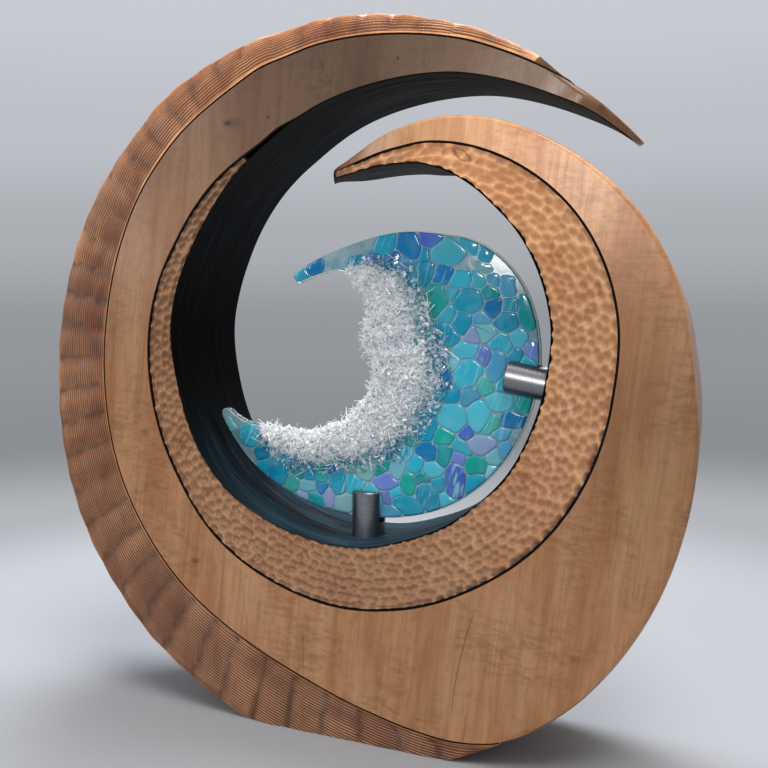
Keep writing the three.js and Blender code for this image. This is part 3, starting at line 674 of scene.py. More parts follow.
@dataclass(frozen=True)
class OiledMaple:
    """Figured hard maple, sanded and oiled: fine upright grain, ripples that catch the light, a few knots."""

    light: str = "#D9A577"
    warm: str = "#BD8153"
    shade: str = "#865333"
    knot: str = "#4A2417"
    lean: float = 7.0
    knots: tuple[Knot, ...] = (
        Knot(-76.8, 444.0, 5.6, 3.4, 0.95),
        Knot(-70.5, 443.6, 11.0, 6.0, 0.45),
        Knot(-43.8, 446.1, 2.4, 2.0, 0.8),
        Knot(55.3, 477.8, 1.8, 1.8, 0.85),
        Knot(-109.0, 118.5, 5.5, 3.6, 0.55),
        Knot(-153.2, 214.6, 6.0, 4.0, 0.4),
        Knot(182.8, 87.0, 6.0, 5.0, 0.3),
    )
    hairlines: tuple[Hairline, ...] = (
        Hairline(104.0, 72.0, 0.21, 0.0016, 46.0, 0.7, 0.6),
        Hairline(-16.5, 58.0, 0.02, 0.0, 22.0, 0.6, 0.45),
        Hairline(1.0, 474.0, -0.5, 0.012, 14.0, 0.6, 0.5),
        Hairline(-66.0, 92.0, -0.12, 0.004, 20.0, 0.9, 0.3),
    )
    # Share of a hairline's reach over which it is at its full strength
    full_share: float = 0.6

    def spotted(self, surface: Surface, colour: bpy.types.NodeSocket) -> bpy.types.NodeSocket:
        """Lay the knots over a colour."""
        place = surface.add("ShaderNodeTexCoord").outputs["Object"]
        for spot in self.knots:
            centre = (-spot.x / spot.across, 0.0, -spot.z / spot.up)
            scale = (1 / (spot.across * MM), 0.0, 1 / (spot.up * MM))
            local = surface.add("ShaderNodeMapping", {"Vector": place, "Location": centre, "Scale": scale})
            away = surface.add("ShaderNodeVectorMath", {0: local.outputs[0]}, operation="LENGTH")
            colour = surface.overlaid(colour, self.knot, away.outputs["Value"], (1.0, 0.1), spot.strength)
        return colour

    def lined(self, surface: Surface, colour: bpy.types.NodeSocket) -> bpy.types.NodeSocket:
        """Lay the thin dark grain lines over a colour."""
        place = surface.add("ShaderNodeTexCoord").outputs["Object"]
        across, _, height = surface.add("ShaderNodeSeparateXYZ", {0: place}).outputs
        for line in self.hairlines:
            up = surface.add("ShaderNodeMath", {0: height, 1: line.z * MM}, operation="SUBTRACT").outputs[0]
            leaning = surface.add("ShaderNodeMath", {0: up, 1: line.lean, 2: line.x * MM},
                                  operation="MULTIPLY_ADD")
            squared = surface.add("ShaderNodeMath", {0: up, 1: up}, operation="MULTIPLY")
            bowed = surface.add("ShaderNodeMath", {0: squared.outputs[0], 1: line.bow / MM,
                                                   2: leaning.outputs[0]}, operation="MULTIPLY_ADD")
            beside = surface.add("ShaderNodeMath", {0: across, 1: bowed.outputs[0]}, operation="SUBTRACT")
            away = surface.add("ShaderNodeMath", {0: beside.outputs[0]}, operation="ABSOLUTE").outputs[0]
            beyond = surface.add("ShaderNodeMath", {0: up}, operation="ABSOLUTE").outputs[0]
            reach = line.reach * MM
            within = surface.add("ShaderNodeMapRange", {"Value": beyond, 1: reach, 2: reach * self.full_share,
                                                        3: 0.0, 4: 1.0})
            marked = surface.overlaid(colour, self.knot, away, (line.width * MM, 0.0), line.strength)
            colour = surface.overlaid(colour, marked, within.outputs[0])
        return colour

    def material(self) -> bpy.types.Material:
        """Build the material."""
        surface = Surface("oiled_figured_maple", Roughness=0.3, Specular_IOR_Level=0.3, Coat_Weight=0.04,
                          Coat_Roughness=0.26)
        broad = surface.grain(self.lean, (26, 26, 190), 3, 0.8)
        bands = surface.grain(self.lean, (5, 5, 120), 3, 0.4, 3.0)
        fibres = surface.grain(self.lean, (1.1, 1.1, 34), 2, 0.0, 7.0)
        # Cross ripples of figured maple, about 3 mm apart, in patches
        ripple = surface.grain(4, (11, 11, 3.2), 2, 0.6, 11.0)
        patches = surface.grain(0, (60, 60, 60), 2, 0.5, 5.0)
        mottle = surface.grain(20, (7, 7, 9), 2, 0.8, 17.0)
        colour = surface.overlaid(self.light, self.warm, broad, (0.3, 0.72))
        colour = surface.overlaid(colour, self.shade, bands, (0.45, 0.72), 0.24)
        colour = surface.overlaid(colour, self.shade, fibres, (0.46, 0.74), 0.24)
        rippled = surface.overlaid(colour, self.shade, ripple, (0.4, 0.66), 0.34)
        colour = surface.overlaid(colour, rippled, patches, (0.42, 0.62))
        colour = surface.overlaid(colour, self.shade, mottle, (0.48, 0.72), 0.2)
        colour = self.spotted(surface, self.lined(surface, colour))
        return surface.finish(surface.with_painted_light(colour), fibres, 0.06, rough=(0.27, 0.34))


@dataclass(frozen=True)
class GroovedWood:
    """Wood of a walnut tone cut into fine parallel grooves: pale ridges, valleys painted dark as shade, and
    stop marks that are partly scorched and partly painted shade.
    """

    ridge: str = "#E3A26C"
    flank: str = "#B06C40"
    # Dark brown painted into the groove valleys as shade, and laid thinly over the fibres
    painted_valley_shade: str = "#4C2414"
    # Scorched stop marks, with painted shade before each
    stop_mark_and_painted_shade: str = "#3A190D"

    def material(self) -> bpy.types.Material:
        """Build the material."""
        surface = Surface("grooved_oiled_wood", Roughness=0.5, Specular_IOR_Level=0.4, Coat_Weight=0.05,
                          Coat_Roughness=0.35)
        tone = surface.grain(20, (35, 35, 60), 3, 0.6)
        fibres = surface.grain(7, (1.3, 1.3, 26), 2, 0.0, 3.0)
        painted_valley_shade = surface.add("ShaderNodeAttribute", attribute_name="painted_valley_shade").outputs["Fac"]
        mark = surface.add("ShaderNodeAttribute", attribute_name="stop_mark_and_painted_shade").outputs["Fac"]
        colour = surface.overlaid(self.ridge, self.flank, tone, (0.3, 0.7))
        # Painted shade in the groove valleys
        colour = surface.overlaid(colour, self.painted_valley_shade, painted_valley_shade, (0.15, 0.95), 0.85)
        # The same dark brown laid thinly over the fibres is the wood's own grain
        colour = surface.overlaid(colour, self.painted_valley_shade, fibres, (0.45, 0.8), 0.3)
        # The stop marks: partly scorched wood, partly painted shade before each mark
        colour = surface.overlaid(colour, self.stop_mark_and_painted_shade, mark)
        return surface.finish(surface.with_painted_light(colour), fibres, 0.08)


@dataclass(frozen=True)
class GougedMaple:
    """Maple hollowed by a gouge and oiled: each mark's bed is painted dark as shade, and its rim and some
    facets get a painted highlight.
    """

    # Painted highlight colour of the marks' rims and facets, and painted shade colour of their beds
    rim: str = "#F0B27C"
    bed: str = "#8E4F27"
    copper: str = "#B86A36"
    # Painted shadow of the notches by the black line, also the colour of the small crack's line
    notch_shadow_and_crack: str = "#3A1E14"

    def material(self) -> bpy.types.Material:
        """Build the material."""
        surface = Surface("gouged_oiled_maple", Roughness=0.38, Specular_IOR_Level=0.3, Coat_Weight=0.04,
                          Coat_Roughness=0.3)
        tone = surface.grain(15, (40, 40, 55), 3, 0.6)
        blotch = surface.grain(10, (6, 6, 10), 3, 0.6, 5.0)
        fibres = surface.grain(7, (1.2, 1.2, 22), 2, 0.0, 9.0)
        bed = surface.add("ShaderNodeAttribute", attribute_name="bed").outputs["Fac"]
        facet_highlight = surface.add("ShaderNodeAttribute", attribute_name="facet_highlight").outputs["Fac"]
        notch_shadow_and_crack = surface.add("ShaderNodeAttribute", attribute_name="notch_shadow_and_crack").outputs["Fac"]
        # Painted shade in the marks' beds, and painted highlights laid on the facets at random
        colour = surface.overlaid(self.rim, self.bed, bed, (0.1, 1.0), 0.5)
        colour = surface.overlaid(colour, self.rim, facet_highlight, most=0.35)
        colour = surface.overlaid(colour, self.copper, tone, (0.4, 0.72), 0.4)
        colour = surface.overlaid(colour, self.bed, blotch, (0.5, 0.78), 0.45)
        colour = surface.overlaid(colour, self.bed, fibres, (0.5, 0.8), 0.25)
        # Lays the painted shadows of the notches and the crack's line over the colour
        return surface.finish(surface.overlaid(surface.with_painted_light(colour), self.notch_shadow_and_crack, notch_shadow_and_crack), fibres, 0.07)


@dataclass(frozen=True)
class BlueBlackStain:
    """Veneer stained blue-black: uneven stain in streaks along the bend, a dull satin skin."""

    dark: str = "#070B10"
    pale: str = "#3B4349"
    teal: str = "#10222B"
    # Streaks and bands in millimetres: their length along the bend, and the width of each
    length: float = 70.0
    streak_width: float = 3.2
    band_width: float = 14.545

    def material(self) -> bpy.types.Material:
        """Build the material."""
        surface = Surface("blue_black_stained_veneer", Roughness=0.55, Specular_IOR_Level=0.04)
        along = surface.add("ShaderNodeAttribute", attribute_name="along").outputs["Fac"]
        across = surface.add("ShaderNodeAttribute", attribute_name="across").outputs["Fac"]
        place = surface.add("ShaderNodeCombineXYZ", {0: along, 1: across}).outputs[0]
        fine = surface.add("ShaderNodeMapping", {"Vector": place,
                                                 "Scale": (1 / self.length, 1 / self.streak_width, 1)})
        streaks = surface.add("ShaderNodeTexNoise", {"Vector": fine.outputs[0], "Scale": 1.0, "Detail": 4.0,
                                                     "Roughness": 0.6, "Distortion": 0.3}).outputs[0]
        wide = surface.add("ShaderNodeMapping", {"Vector": place,
                                                 "Scale": (1 / self.length, 1 / self.band_width, 1)})
        bands = surface.add("ShaderNodeTexNoise", {"Vector": wide.outputs[0], "Scale": 0.8, "Detail": 2.0,
                                                   "Distortion": 0.5}).outputs[0]
        colour = surface.overlaid(self.dark, self.teal, bands, (0.35, 0.7))
        colour = surface.overlaid(colour, self.pale, streaks, (0.5, 0.78), 0.7)
        return surface.finish(surface.with_painted_light(colour), streaks, 0.15, 0.6, rough=(0.42, 0.68))


@dataclass(frozen=True)
class BlackVeneer:
    """Dyed black veneer, seen edge on: nearly black with a brown cast and short fibres."""

    dark: str = "#080403"
    brown: str = "#1D0F09"

    def material(self) -> bpy.types.Material:
        """Build the material."""
        surface = Surface("dyed_black_veneer", Roughness=0.8, Specular_IOR_Level=0.1)
        fibres = surface.grain(7, (1.4, 1.4, 12), 3, 0.2)
        return surface.finish(surface.overlaid(self.dark, self.brown, fibres, (0.45, 0.8)), fibres, 0.06)


@dataclass(frozen=True)
class ClearGlass:
    """Fire-polished clear sheet glass: sharp reflections, a faint sea-green body and slow ripples."""

    body: str = "#DDF0EE"

    def material(self) -> bpy.types.Material:
        """Build the material."""
        surface = Surface("fused_clear_glass", Base_Color=self.body, Roughness=0.04, IOR=1.52,
                          Transmission_Weight=0.85)
        return surface.finish(None, surface.grain(0, (9, 9, 9), 2, 0.3), 0.15)


@dataclass(frozen=True)
class MilkyGlass:
    """The flux of clear frit between the pieces: pale lilac grey, half see-through, gently uneven."""

    lilac: str = "#8DBFCE"
    pale: str = "#B9D6DE"

    def material(self) -> bpy.types.Material:
        """Build the material."""
        surface = Surface("milky_fused_frit", Roughness=0.15, IOR=1.4, Transmission_Weight=0.35)
        cloud = surface.grain(0, (8, 8, 8), 3, 0.6)
        return surface.finish(surface.overlaid(self.lilac, self.pale, cloud, (0.35, 0.65)), cloud, 0.2, 0.4)


@dataclass(frozen=True)
class MosaicGlass:
    """Coloured glass, cut and fused flat: one colour to a piece, deeper at its edge, some streaky."""

    streak: str = "#8FD0DC"
    deep: str = "#03303F"

    def material(self) -> bpy.types.Material:
        """Build the material."""
        # The pale surroundings behind the sheet glow through each piece, which the small emission stands for
        surface = Surface("fused_coloured_glass", Roughness=0.1, IOR=1.4, Transmission_Weight=0.05,
                          Emission_Strength=0.07)
        tint = surface.add("ShaderNodeAttribute", attribute_name="tint").outputs["Color"]
        streaky = surface.add("ShaderNodeAttribute", attribute_name="streaky").outputs["Fac"]
        edge = surface.add("ShaderNodeAttribute", attribute_name="edge").outputs["Fac"]
        flow = surface.grain(18, (3.2, 3.2, 26), 3, 1.2)
        cloud = surface.grain(-30, (14, 14, 14), 2, 0.5, 4.0)
        colour = surface.overlaid(tint, self.streak, cloud, (0.4, 0.75), 0.2)
        marbled = surface.overlaid(colour, self.streak, flow, (0.5, 0.68))
        colour = surface.overlaid(colour, marbled, streaky)
        colour = surface.overlaid(colour, self.deep, edge, most=0.08)
        surface.drive("Emission Color", colour)
        return surface.finish(colour, cloud, 0.2, 0.4)


@dataclass(frozen=True)
class CrushedGlass:
    """Crushed clear glass: each chip is white where it scatters and sparkles on its facets."""

    shade: str = "#C9D6DD"

    def material(self) -> bpy.types.Material:
        """Build the material."""
        # Light that wanders about between the chips makes them glow a little
        surface = Surface("crushed_clear_glass", Roughness=0.16, IOR=1.5, Transmission_Weight=0.15,
                          Emission_Strength=0.05)
        tint = surface.add("ShaderNodeAttribute", attribute_name="tint").outputs["Color"]
        sparkle = surface.grain(0, (1.2, 1.2, 1.2), 2, 0.0)
        colour = surface.overlaid(tint, self.shade, sparkle, (0.45, 0.8), 0.2)
        surface.drive("Emission Color", colour)
        return surface.finish(colour, sparkle, 0.2, 0.6)


@dataclass(frozen=True)
class BrushedAluminium:
    """Aluminium bar, turned and brushed round: fine rings that draw the highlight out along the bar."""

    metal: str = "#8B8C90"
    dull: str = "#737479"

    def material(self, axis: Vector) -> bpy.types.Material:
        """Build the material.

        Args:
            axis: Direction of the bar.

        Returns:
            The material.
        """
        surface = Surface("brushed_aluminium_bar", Metallic=1.0, Roughness=0.3)
        lean = math.degrees(math.atan2(axis.x, axis.z))
        # Brushing lines 0.25 mm apart, drawn as coarse as 0.5 mm so that they show
        lines = surface.grain(-lean, (6, 6, 0.5), 2, 0.0)
        colour = surface.overlaid(self.metal, self.dull, lines, (0.35, 0.75))
        return surface.finish(colour, lines, 0.006, 0.2, rough=(0.3, 0.38))


@dataclass(frozen=True)
class ZincPlatedSteel:
    """Zinc-plated steel: bluish bright metal with a faint bloom."""

    metal: str = "#A6A9AC"
    bloom: str = "#8C9398"

    def material(self) -> bpy.types.Material:
        """Build the material."""
        surface = Surface("zinc_plated_steel", Metallic=1.0, Roughness=0.32)
        bloom = surface.grain(0, (2, 2, 2), 3, 0.5)
        return surface.finish(surface.overlaid(self.metal, self.bloom, bloom, (0.35, 0.7)))


@dataclass(frozen=True)
class BlackRubber:
    """Thin sheet rubber: matte black with a fine dusty grain."""

    black: str = "#1B1B1D"
    dusty: str = "#2B2B2D"

    def material(self) -> bpy.types.Material:
        """Build the material."""
        surface = Surface("black_sheet_rubber", Roughness=0.85, Specular_IOR_Level=0.3)
        dust = surface.grain(0, (0.8, 0.8, 0.8), 2, 0.0)
        return surface.finish(surface.overlaid(self.black, self.dusty, dust, (0.4, 0.8)), dust, 0.05)


def dress(piece: bpy.types.Object, material: bpy.types.Material, slot: Slot, *nodes: Node) -> None:
    """Give a new piece its material, its place on the body and the solids that it stands for.

    Args:
        piece: The piece.
        material: Its finish.
        slot: The record's slot for it; not used.
        nodes: The solids that it stands for.
    """
    piece.data.materials.clear()
    piece.data.materials.append(material)
    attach(piece, ROOT)
    for node in nodes:
        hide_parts(node.value)
    LOG.info("%s: %d faces", piece.name, len(piece.data.polygons))


@dataclass
class PlainBands:
    """The smooth face and the two black lines."""

    shape: WoodShape
    step: float = 3.5
    flat_rows: int = 14
    arc_rows: int = 12
    side_rows: int = 6
    # Most of the front's path that the flat's rows take up
    flat_share: float = 0.7

    def band(self, name: str, node: Node) -> bpy.types.Object:
        """Sweep one smooth band along the wave.

        Args:
            name: The piece's name.
            node: The solid that it stands for.

        Returns:
            The piece.
        """
        shape = self.shape
        angles = shape.angles(node, self.step)
        start, end = shape.inner[node](angles), shape.outer[node](angles)
        length = shape.path_length(angles, start, end)
        flat = np.maximum(0, shape.edge(angles) - shape.rounding(angles) - start)
        flat = np.minimum(flat, self.flat_share * length)
        on_flat = flat * np.linspace(0, 1, self.flat_rows)
        on_arc = flat + (length - flat) * np.linspace(0, 1, self.arc_rows)[1:]
        radius, depth, _, _ = shape.front_path(angles, start, np.concatenate([on_flat, on_arc], axis=1))
        shift = shape.back_shift(node, angles, radius)
        share = np.linspace(0, 1, self.side_rows + 2)[1:-1]
        side_radius = radius[:, -1:] + shift[:, -1:] * share
        side_depth = depth[:, -1:] * (1 - 2 * share)
        inner_radius = radius[:, :1] + shift[:, :1] * share[::-1]
        inner_depth = depth[:, :1] * (1 - 2 * share[::-1])
        radii = np.concatenate([radius, side_radius, (radius + shift)[:, ::-1], inner_radius], axis=1)
        depths = np.concatenate([depth, side_depth, -depth[:, ::-1], inner_depth], axis=1)
        # The tone along the face and the lines is painted light and shade
        fields = {"tone": FACE_PAINTED_LIGHT(angles) + 0 * radii}
        return body_through(name, shape.placed(angles, radii, depths), fields, level_cut=True)

    def build(self) -> None:
        """Make and dress the three bands."""
        dress(self.band("oiled_maple_face", Node.FACE), OiledMaple().material(), Slot.OILED_MAPLE, Node.FACE)
        black = BlackVeneer().material()
        dress(self.band("inner_veneer_line", Node.INNER_LINE), black, Slot.BLACK_VENEER, Node.INNER_LINE)
        dress(self.band("outer_veneer_line", Node.OUTER_LINE), black, Slot.BLACK_VENEER, Node.OUTER_LINE)


@dataclass
class RibbedRim:
    """The rim with its fine parallel grooves, cut in short runs that end in dark stop marks, which are partly
    scorched and partly painted shade.
    """

    shape: WoodShape
    groove_pitch: float = 2.1
    groove_depth: float = 0.75
    rows_in_groove: int = 4
    step: float = 3.1
    first_dip: float = 51.0
    dip_step: float = 6.0
    dip_depth: float = 0.7
    dip_fade: tuple[float, float] = (3.0, 12.0)
    mark_width: float = 4.4
    # How dark the painted shade gets just before a mark, where each scoop falls away, as a share of the mark
    painted_shade_before_mark: float = 0.42
    # Slow changes: how far the marks and the grooves wander, and over how many millimetres across and along
    wander: float = 0.9
    wander_cell: tuple[float, float] = (11.0, 80.0)
    waver: float = 0.35
    waver_cell: tuple[float, float] = (14.0, 90.0)
    depth_cell: float = 22.0
    patch_width: float = 9.0
    # Millimetres over which the carving comes in: beside the black line, at the narrow ends and at both ends
    line_fade: float = 2.0
    dip_line_fade: float = 4.0
    narrow_fade: float = 9.0
    end_fade: float = 10.0
    # Stretches between marks that have random values of their own, and how far the back's are shifted
    stretches: int = 81
    back_shift: float = 31.0
    seed: int = 5

    def carved(self, angles: np.ndarray, along: np.ndarray, across: np.ndarray,
               width: np.ndarray) -> tuple[np.ndarray, dict[str, np.ndarray]]:
        """Work out how deep the grooves and dips cut, and the painted shade and scorch of their beds and
        ends.

        Args:
            angles: Stations, as a column, in degrees.
            along: Millimetres along the rim.
            across: Millimetres across it from the black line.
            width: The rim's width at each station.

        Returns:
            Depth of the cut in millimetres, and the values that the material reads.
        """
        wander_across, wander_along = self.wander_cell
        wander = SmoothNoise(self.seed + 1)(across / wander_across, along / wander_along) - 0.5
        place = (angles - self.first_dip + wander * self.wander) / self.dip_step
        number = np.floor(place).astype(int) % self.stretches
        part = place - np.floor(place)
        to_mark = np.minimum(part, 1 - part)
        away = to_mark * self.dip_step * np.radians(1.0) * self.shape.outer[Node.RIM](angles)
        rng = np.random.default_rng(self.seed + 2)
        shift = rng.uniform(-0.5, 0.5, self.stretches)[number]
        strength = rng.uniform(0.5, 1.0, self.stretches)[number]
        waver_across, waver_along = self.waver_cell
        waver = SmoothNoise(self.seed + 3)(along / waver_along, across / waver_across) * self.waver
        groove = across / self.groove_pitch + shift + waver
        bed = np.sin(math.pi * (groove - np.floor(groove))) ** 0.8
        uneven = 0.75 + 0.5 * SmoothNoise(self.seed + 4)(along / self.depth_cell, groove)
        start = smooth_step(0, self.line_fade, across) * smooth_step(0, self.narrow_fade, width)
        dip = self.dip_depth * np.maximum(0, 1 - 2 * to_mark) * smooth_step(*self.dip_fade, width)
        patches = SmoothNoise(self.seed + 5)(across / self.patch_width, number * 7.3)
        patchy = 0.35 + 0.65 * smooth_step(0.2, 0.6, patches)
        # Painted shade: the wood is painted darker towards each mark, where its scoop falls into shade, and
        # starts light again behind it; the mark itself is partly scorched and partly painted shade
        in_mark = np.exp(-(away / self.mark_width) ** 2) * patchy
        mark = np.maximum(in_mark, self.painted_shade_before_mark * smooth_step(0.15, 1, part)) * strength
        depth = start * (self.groove_depth * uneven) * bed + smooth_step(0, self.dip_line_fade, across) * dip
        return depth, {"painted_valley_shade": bed * start, "stop_mark_and_painted_shade": mark * (0.35 + 0.65 * bed) * start}

    def half(self, name: str, side: int) -> bpy.types.Object:
        """Make the front or the back half of the rim, which meet in the slab's middle plane.

        Args:
            name: The piece's name.
            side: 1 for the front, -1 for the back.

        Returns:
            The piece.
        """
        shape = self.shape
        angles = shape.angles(Node.RIM, self.step)
        along = shape.along(Node.RIM, angles)
        start = shape.inner[Node.RIM](angles)
        edge = shape.edge(angles)
        length = shape.path_length(angles, start, edge) + shape.half(angles) - shape.rounding(angles)
        row_step = self.groove_pitch / self.rows_in_groove
        rows = np.arange(0, length.max() + row_step, row_step)[None, :]
        run = np.minimum(rows, length)
        radius, depth, normal_out, normal_front = shape.front_path(angles, start, run)
        cut, fields = self.carved(angles, along + self.back_shift * (side < 0), run, edge - start)
        ends = smooth_step(0, self.end_fade, along) * smooth_step(0, self.end_fade, along[-1] - along)
        cut = cut * ends
        # The rim's tone is painted light, lighter along the arm's top
        fields["tone"] = RIM_PAINTED_LIGHT(angles) + 0 * run
        radius = radius - cut * normal_out
        depth = np.minimum(depth - cut * normal_front, 0)
        base = np.zeros_like(start)
        radii = np.concatenate([radius, start], axis=1)
        depths = np.concatenate([depth, base], axis=1) * side
        closed = {key: np.concatenate([value, value[:, :1]], axis=1) for key, value in fields.items()}
        grid = shape.placed(angles, radii, depths)
        return body_through(name, grid, closed, level_cut=True, sharp=50)

    def build(self) -> None:
        """Make and dress both halves."""
        wood = GroovedWood().material()
        dress(self.half("grooved_rim_front", 1), wood, Slot.RIBBED_WOOD, Node.RIM)
        dress(self.half("grooved_rim_back", -1), wood, Slot.RIBBED_WOOD, Node.RIM)


@dataclass
class DimpledRing:
    """The ring round the bore, hollowed all over by a gouge."""

    shape: WoodShape
    # Length and width of the gouge's marks by angle, in millimetres
    mark_length: tuple[tuple[float, float], ...] = (
        (120, 7.0), (260, 7.4), (310, 7.6), (385, 7.8), (456, 7.4))
    mark_width: tuple[tuple[float, float], ...] = (
        (120, 5.0), (260, 5.4), (310, 5.4), (385, 5.8), (456, 5.8))
    mark_depth: float = 1.5
    # Square of the distance from a mark's middle, in marks, at which its bed comes out at the top
    mark_reach: float = 0.44
    facet_size: float = 3.4
    facet_stretch: float = 1.7
    facet_depth: float = 0.2
    # How far marks and facets stray from their rows, and how many rows and columns have values of their own
    mark_jitter: float = 0.3
    facet_jitter: float = 0.4
    rows_and_columns: tuple[int, int] = (64, 512)
    back_offset: float = 17.0
    # Width over which the carving comes in at the ring's ends, and the scallops of its two edges
    narrow_fade: float = 6.0
    scallop_depth: float = 0.55
    scallop_width: float = 1.2
    # Dark notches along the inner black line, painted shadow where the gouge's marks end against it: their
    # width, and between which angles they come and go
    notch_width: float = 2.6
    notches_from: tuple[float, float] = (283, 300)
    notches_to: tuple[float, float] = (342, 352)
    # A small looped crack: its angle and radius, half its length and width, and the share that its line takes
    crack: tuple[float, float, float, float] = (415.8, 155.7, 6.2, 2.6)
    crack_line: float = 0.22
    crack_strength: float = 0.6
    step: float = 1.15
    rows: int = 56
    seed: int = 23

    def beds(self, along: np.ndarray, across: np.ndarray, jitter: float,
             seed: int) -> tuple[np.ndarray, np.ndarray]:
        """Measure how near each place is to the middle of its mark, marks being 1 long and 1 wide.

        Args:
            along: Place along the ring, in marks.
            across: Place across it, in marks.
            jitter: How far the marks stray from their rows.
            seed: Start of the random row.

        Returns:
            1 in a mark's middle, falling to about 0 on the sharp ridges, and a value for each mark.
        """
        rng = np.random.default_rng(seed)
        rows, columns = self.rows_and_columns
        moves = rng.uniform(-jitter, jitter, (rows, columns, 2))
        own = rng.uniform(0, 1, (rows, columns))
        row = np.floor(across).astype(int)
        nearest = np.full(along.shape, 9.0)
        value = np.zeros(along.shape)
        for row_step in (-1, 0, 1):
            there = row + row_step
            offset = 0.5 * (there % 2)
            column = np.floor(along - offset).astype(int)
            for column_step in (-1, 0, 1):
                which = column + column_step
                moved = moves[there % rows, which % columns]
                away = ((along - (which + 0.5 + offset + moved[..., 0])) ** 2
                        + (across - (there + 0.5 + moved[..., 1])) ** 2)
                value = np.where(away < nearest, own[there % rows, which % columns], value)
                nearest = np.minimum(nearest, away)
        return np.clip(1 - nearest / self.mark_reach, 0, 1), value

    def face(self, angles: np.ndarray, along: np.ndarray,
             offset: float) -> tuple[np.ndarray, np.ndarray, dict]:
        """Carve the ring's sloping face.

        Args:
            angles: Stations, as a column.
            along: Place of each station along the ring, in millimetres.
            offset: Shifts the marks, so that the back isn't the front's mirror image.

        Returns:
            Radius, depth behind the plane of the slab's middle, and the values that the material reads.
        """
        shape = self.shape
        start, end = shape.inner[Node.RING](angles), shape.outer[Node.RING](angles)
        share = np.linspace(0, 1, self.rows)[None, :]
        radius = start + (end - start) * share
        across = end - radius
        length, width = through(*self.mark_length)(angles), through(*self.mark_width)(angles)
        steps = np.diff(along, axis=0) / length[1:]
        in_marks = np.concatenate([[[0.0]], np.cumsum(steps, axis=0)])
        bed, value = self.beds(in_marks + offset + 0 * across, across / width + 0.25 + offset,
                               self.mark_jitter, self.seed)
        facet_length = self.facet_stretch * self.facet_size
        fine, facet_highlight = self.beds((along + 0 * across) / facet_length + offset, across / self.facet_size,
                                self.facet_jitter, self.seed + 1)
        narrow = smooth_step(0, self.narrow_fade, end - start)
        cut = (self.mark_depth * (0.65 + 0.5 * value) * bed + self.facet_depth * fine) * narrow
        turn = 1 / math.hypot(1, shape.BEVEL_SLOPE)
        depth = shape.half(angles) - shape.bevel_depth(angles, radius) - cut * turn
        tilt = cut * shape.BEVEL_SLOPE * turn
        at_line = np.exp(-across / self.scallop_width)
        at_bore = np.exp(-(end - start - across) / self.scallop_width)
        scallop = self.scallop_depth * bed * narrow * (at_line - at_bore)
        notched = smooth_step(*self.notches_from, angles) * (1 - smooth_step(*self.notches_to, angles))
        beside_line = np.exp(-(across / self.notch_width) ** 2)
        # Painted shadow where the marks' beds meet the inner black line
        notch_shadow_and_crack = beside_line * smooth_step(0.25, 0.7, bed) * (0.25 + 0.75 * notched)
        place, reach, half_length, half_width = self.crack
        away = np.hypot((angles - place) * np.radians(reach) / half_length, (radius - reach) / half_width)
        loop = np.exp(-((away - 1) / self.crack_line) ** 2)
        fields = {
            # The bed values paint shade in the marks' beds, and the facets' values paint highlights on them
            "bed": bed,
            "facet_highlight": 0.6 * value + 0.4 * facet_highlight,
            "notch_shadow_and_crack": np.maximum(notch_shadow_and_crack * narrow, self.crack_strength * loop),
            # The ring's tone is painted light and shade, lighter on the curl's top
            "tone": RING_PAINTED_LIGHT(angles) + 0 * radius,
        }
        return radius + tilt - scallop, depth, fields

    def build(self) -> None:
        """Make and dress the ring."""
        shape = self.shape
        angles = shape.angles(Node.RING, self.step)
        along = shape.along(Node.RING, angles)
        front_radius, front_depth, front = self.face(angles, along, 0)
        back_radius, back_depth, back = self.face(angles, along, self.back_offset)
        lift = shape.lift(angles)
        radii = np.concatenate([front_radius, back_radius[:, ::-1] + lift], axis=1)
        depths = np.concatenate([-front_depth, back_depth[:, ::-1]], axis=1)
        fields = {key: np.concatenate([front[key], back[key][:, ::-1]], axis=1) for key in front}
        piece = body_through("gouged_ring", shape.placed(angles, radii, depths), fields, sharp=50)
        dress(piece, GougedMaple().material(), Slot.CARVED_MAPLE, Node.RING)


@dataclass
class BoreLiner:
    """The thin stained veneer that lines the bore and the arm's underside."""

    shape: WoodShape
    step: float = 3.0
    rows: int = 78
    # Ridges along the bend, and finer ones on them: full height, and length and width in millimetres
    ridge_height: float = 0.35
    ridge_cell: tuple[float, float] = (45.0, 2.4)
    fine_cell: tuple[float, float] = (20.0, 1.3)
    seed: int = 41

    def build(self) -> None:
        """Make and dress the liner."""
        shape = self.shape
        angles = shape.angles(Node.LINER, self.step)
        along = shape.along(Node.LINER, angles)
        bore, outside = shape.inner[Node.LINER](angles), shape.outer[Node.LINER](angles)
        reach = shape.half(angles) - shape.bevel_depth(angles, bore)
        across = reach * np.linspace(-1, 1, self.rows)[None, :]
        lift = shape.lift(angles) * (across / reach + 1) / 2
        ridges = SmoothNoise(self.seed)(along / self.ridge_cell[0], across / self.ridge_cell[1] + 100)
        fine = SmoothNoise(self.seed + 1)(along / self.fine_cell[0], across / self.fine_cell[1] + 200)
        radius = bore + lift + self.ridge_height * (0.7 * ridges + 0.3 * fine)
        outer_reach = shape.half(angles) - shape.bevel_depth(angles, outside)
        full_lift = shape.lift(angles)
        radii = np.concatenate([radius, outside + full_lift, outside], axis=1)
        depths = np.concatenate([across, outer_reach, -outer_reach], axis=1)
        blank = np.zeros_like(angles)
        fields = {
            "along": np.concatenate([along + 0 * across, along, along], axis=1),
            "across": np.concatenate([across + 200, blank + 200, blank + 200], axis=1),
            # The liner's tone is painted light and shade, lighter at the bore's bottom
            "tone": LINER_PAINTED_LIGHT(angles) + np.zeros((1, self.rows + 2)),
        }
        piece = body_through("stained_bore_liner", shape.placed(angles, radii, depths), fields)
        dress(piece, BlueBlackStain().material(), Slot.STAINED_VENEER, Node.LINER)


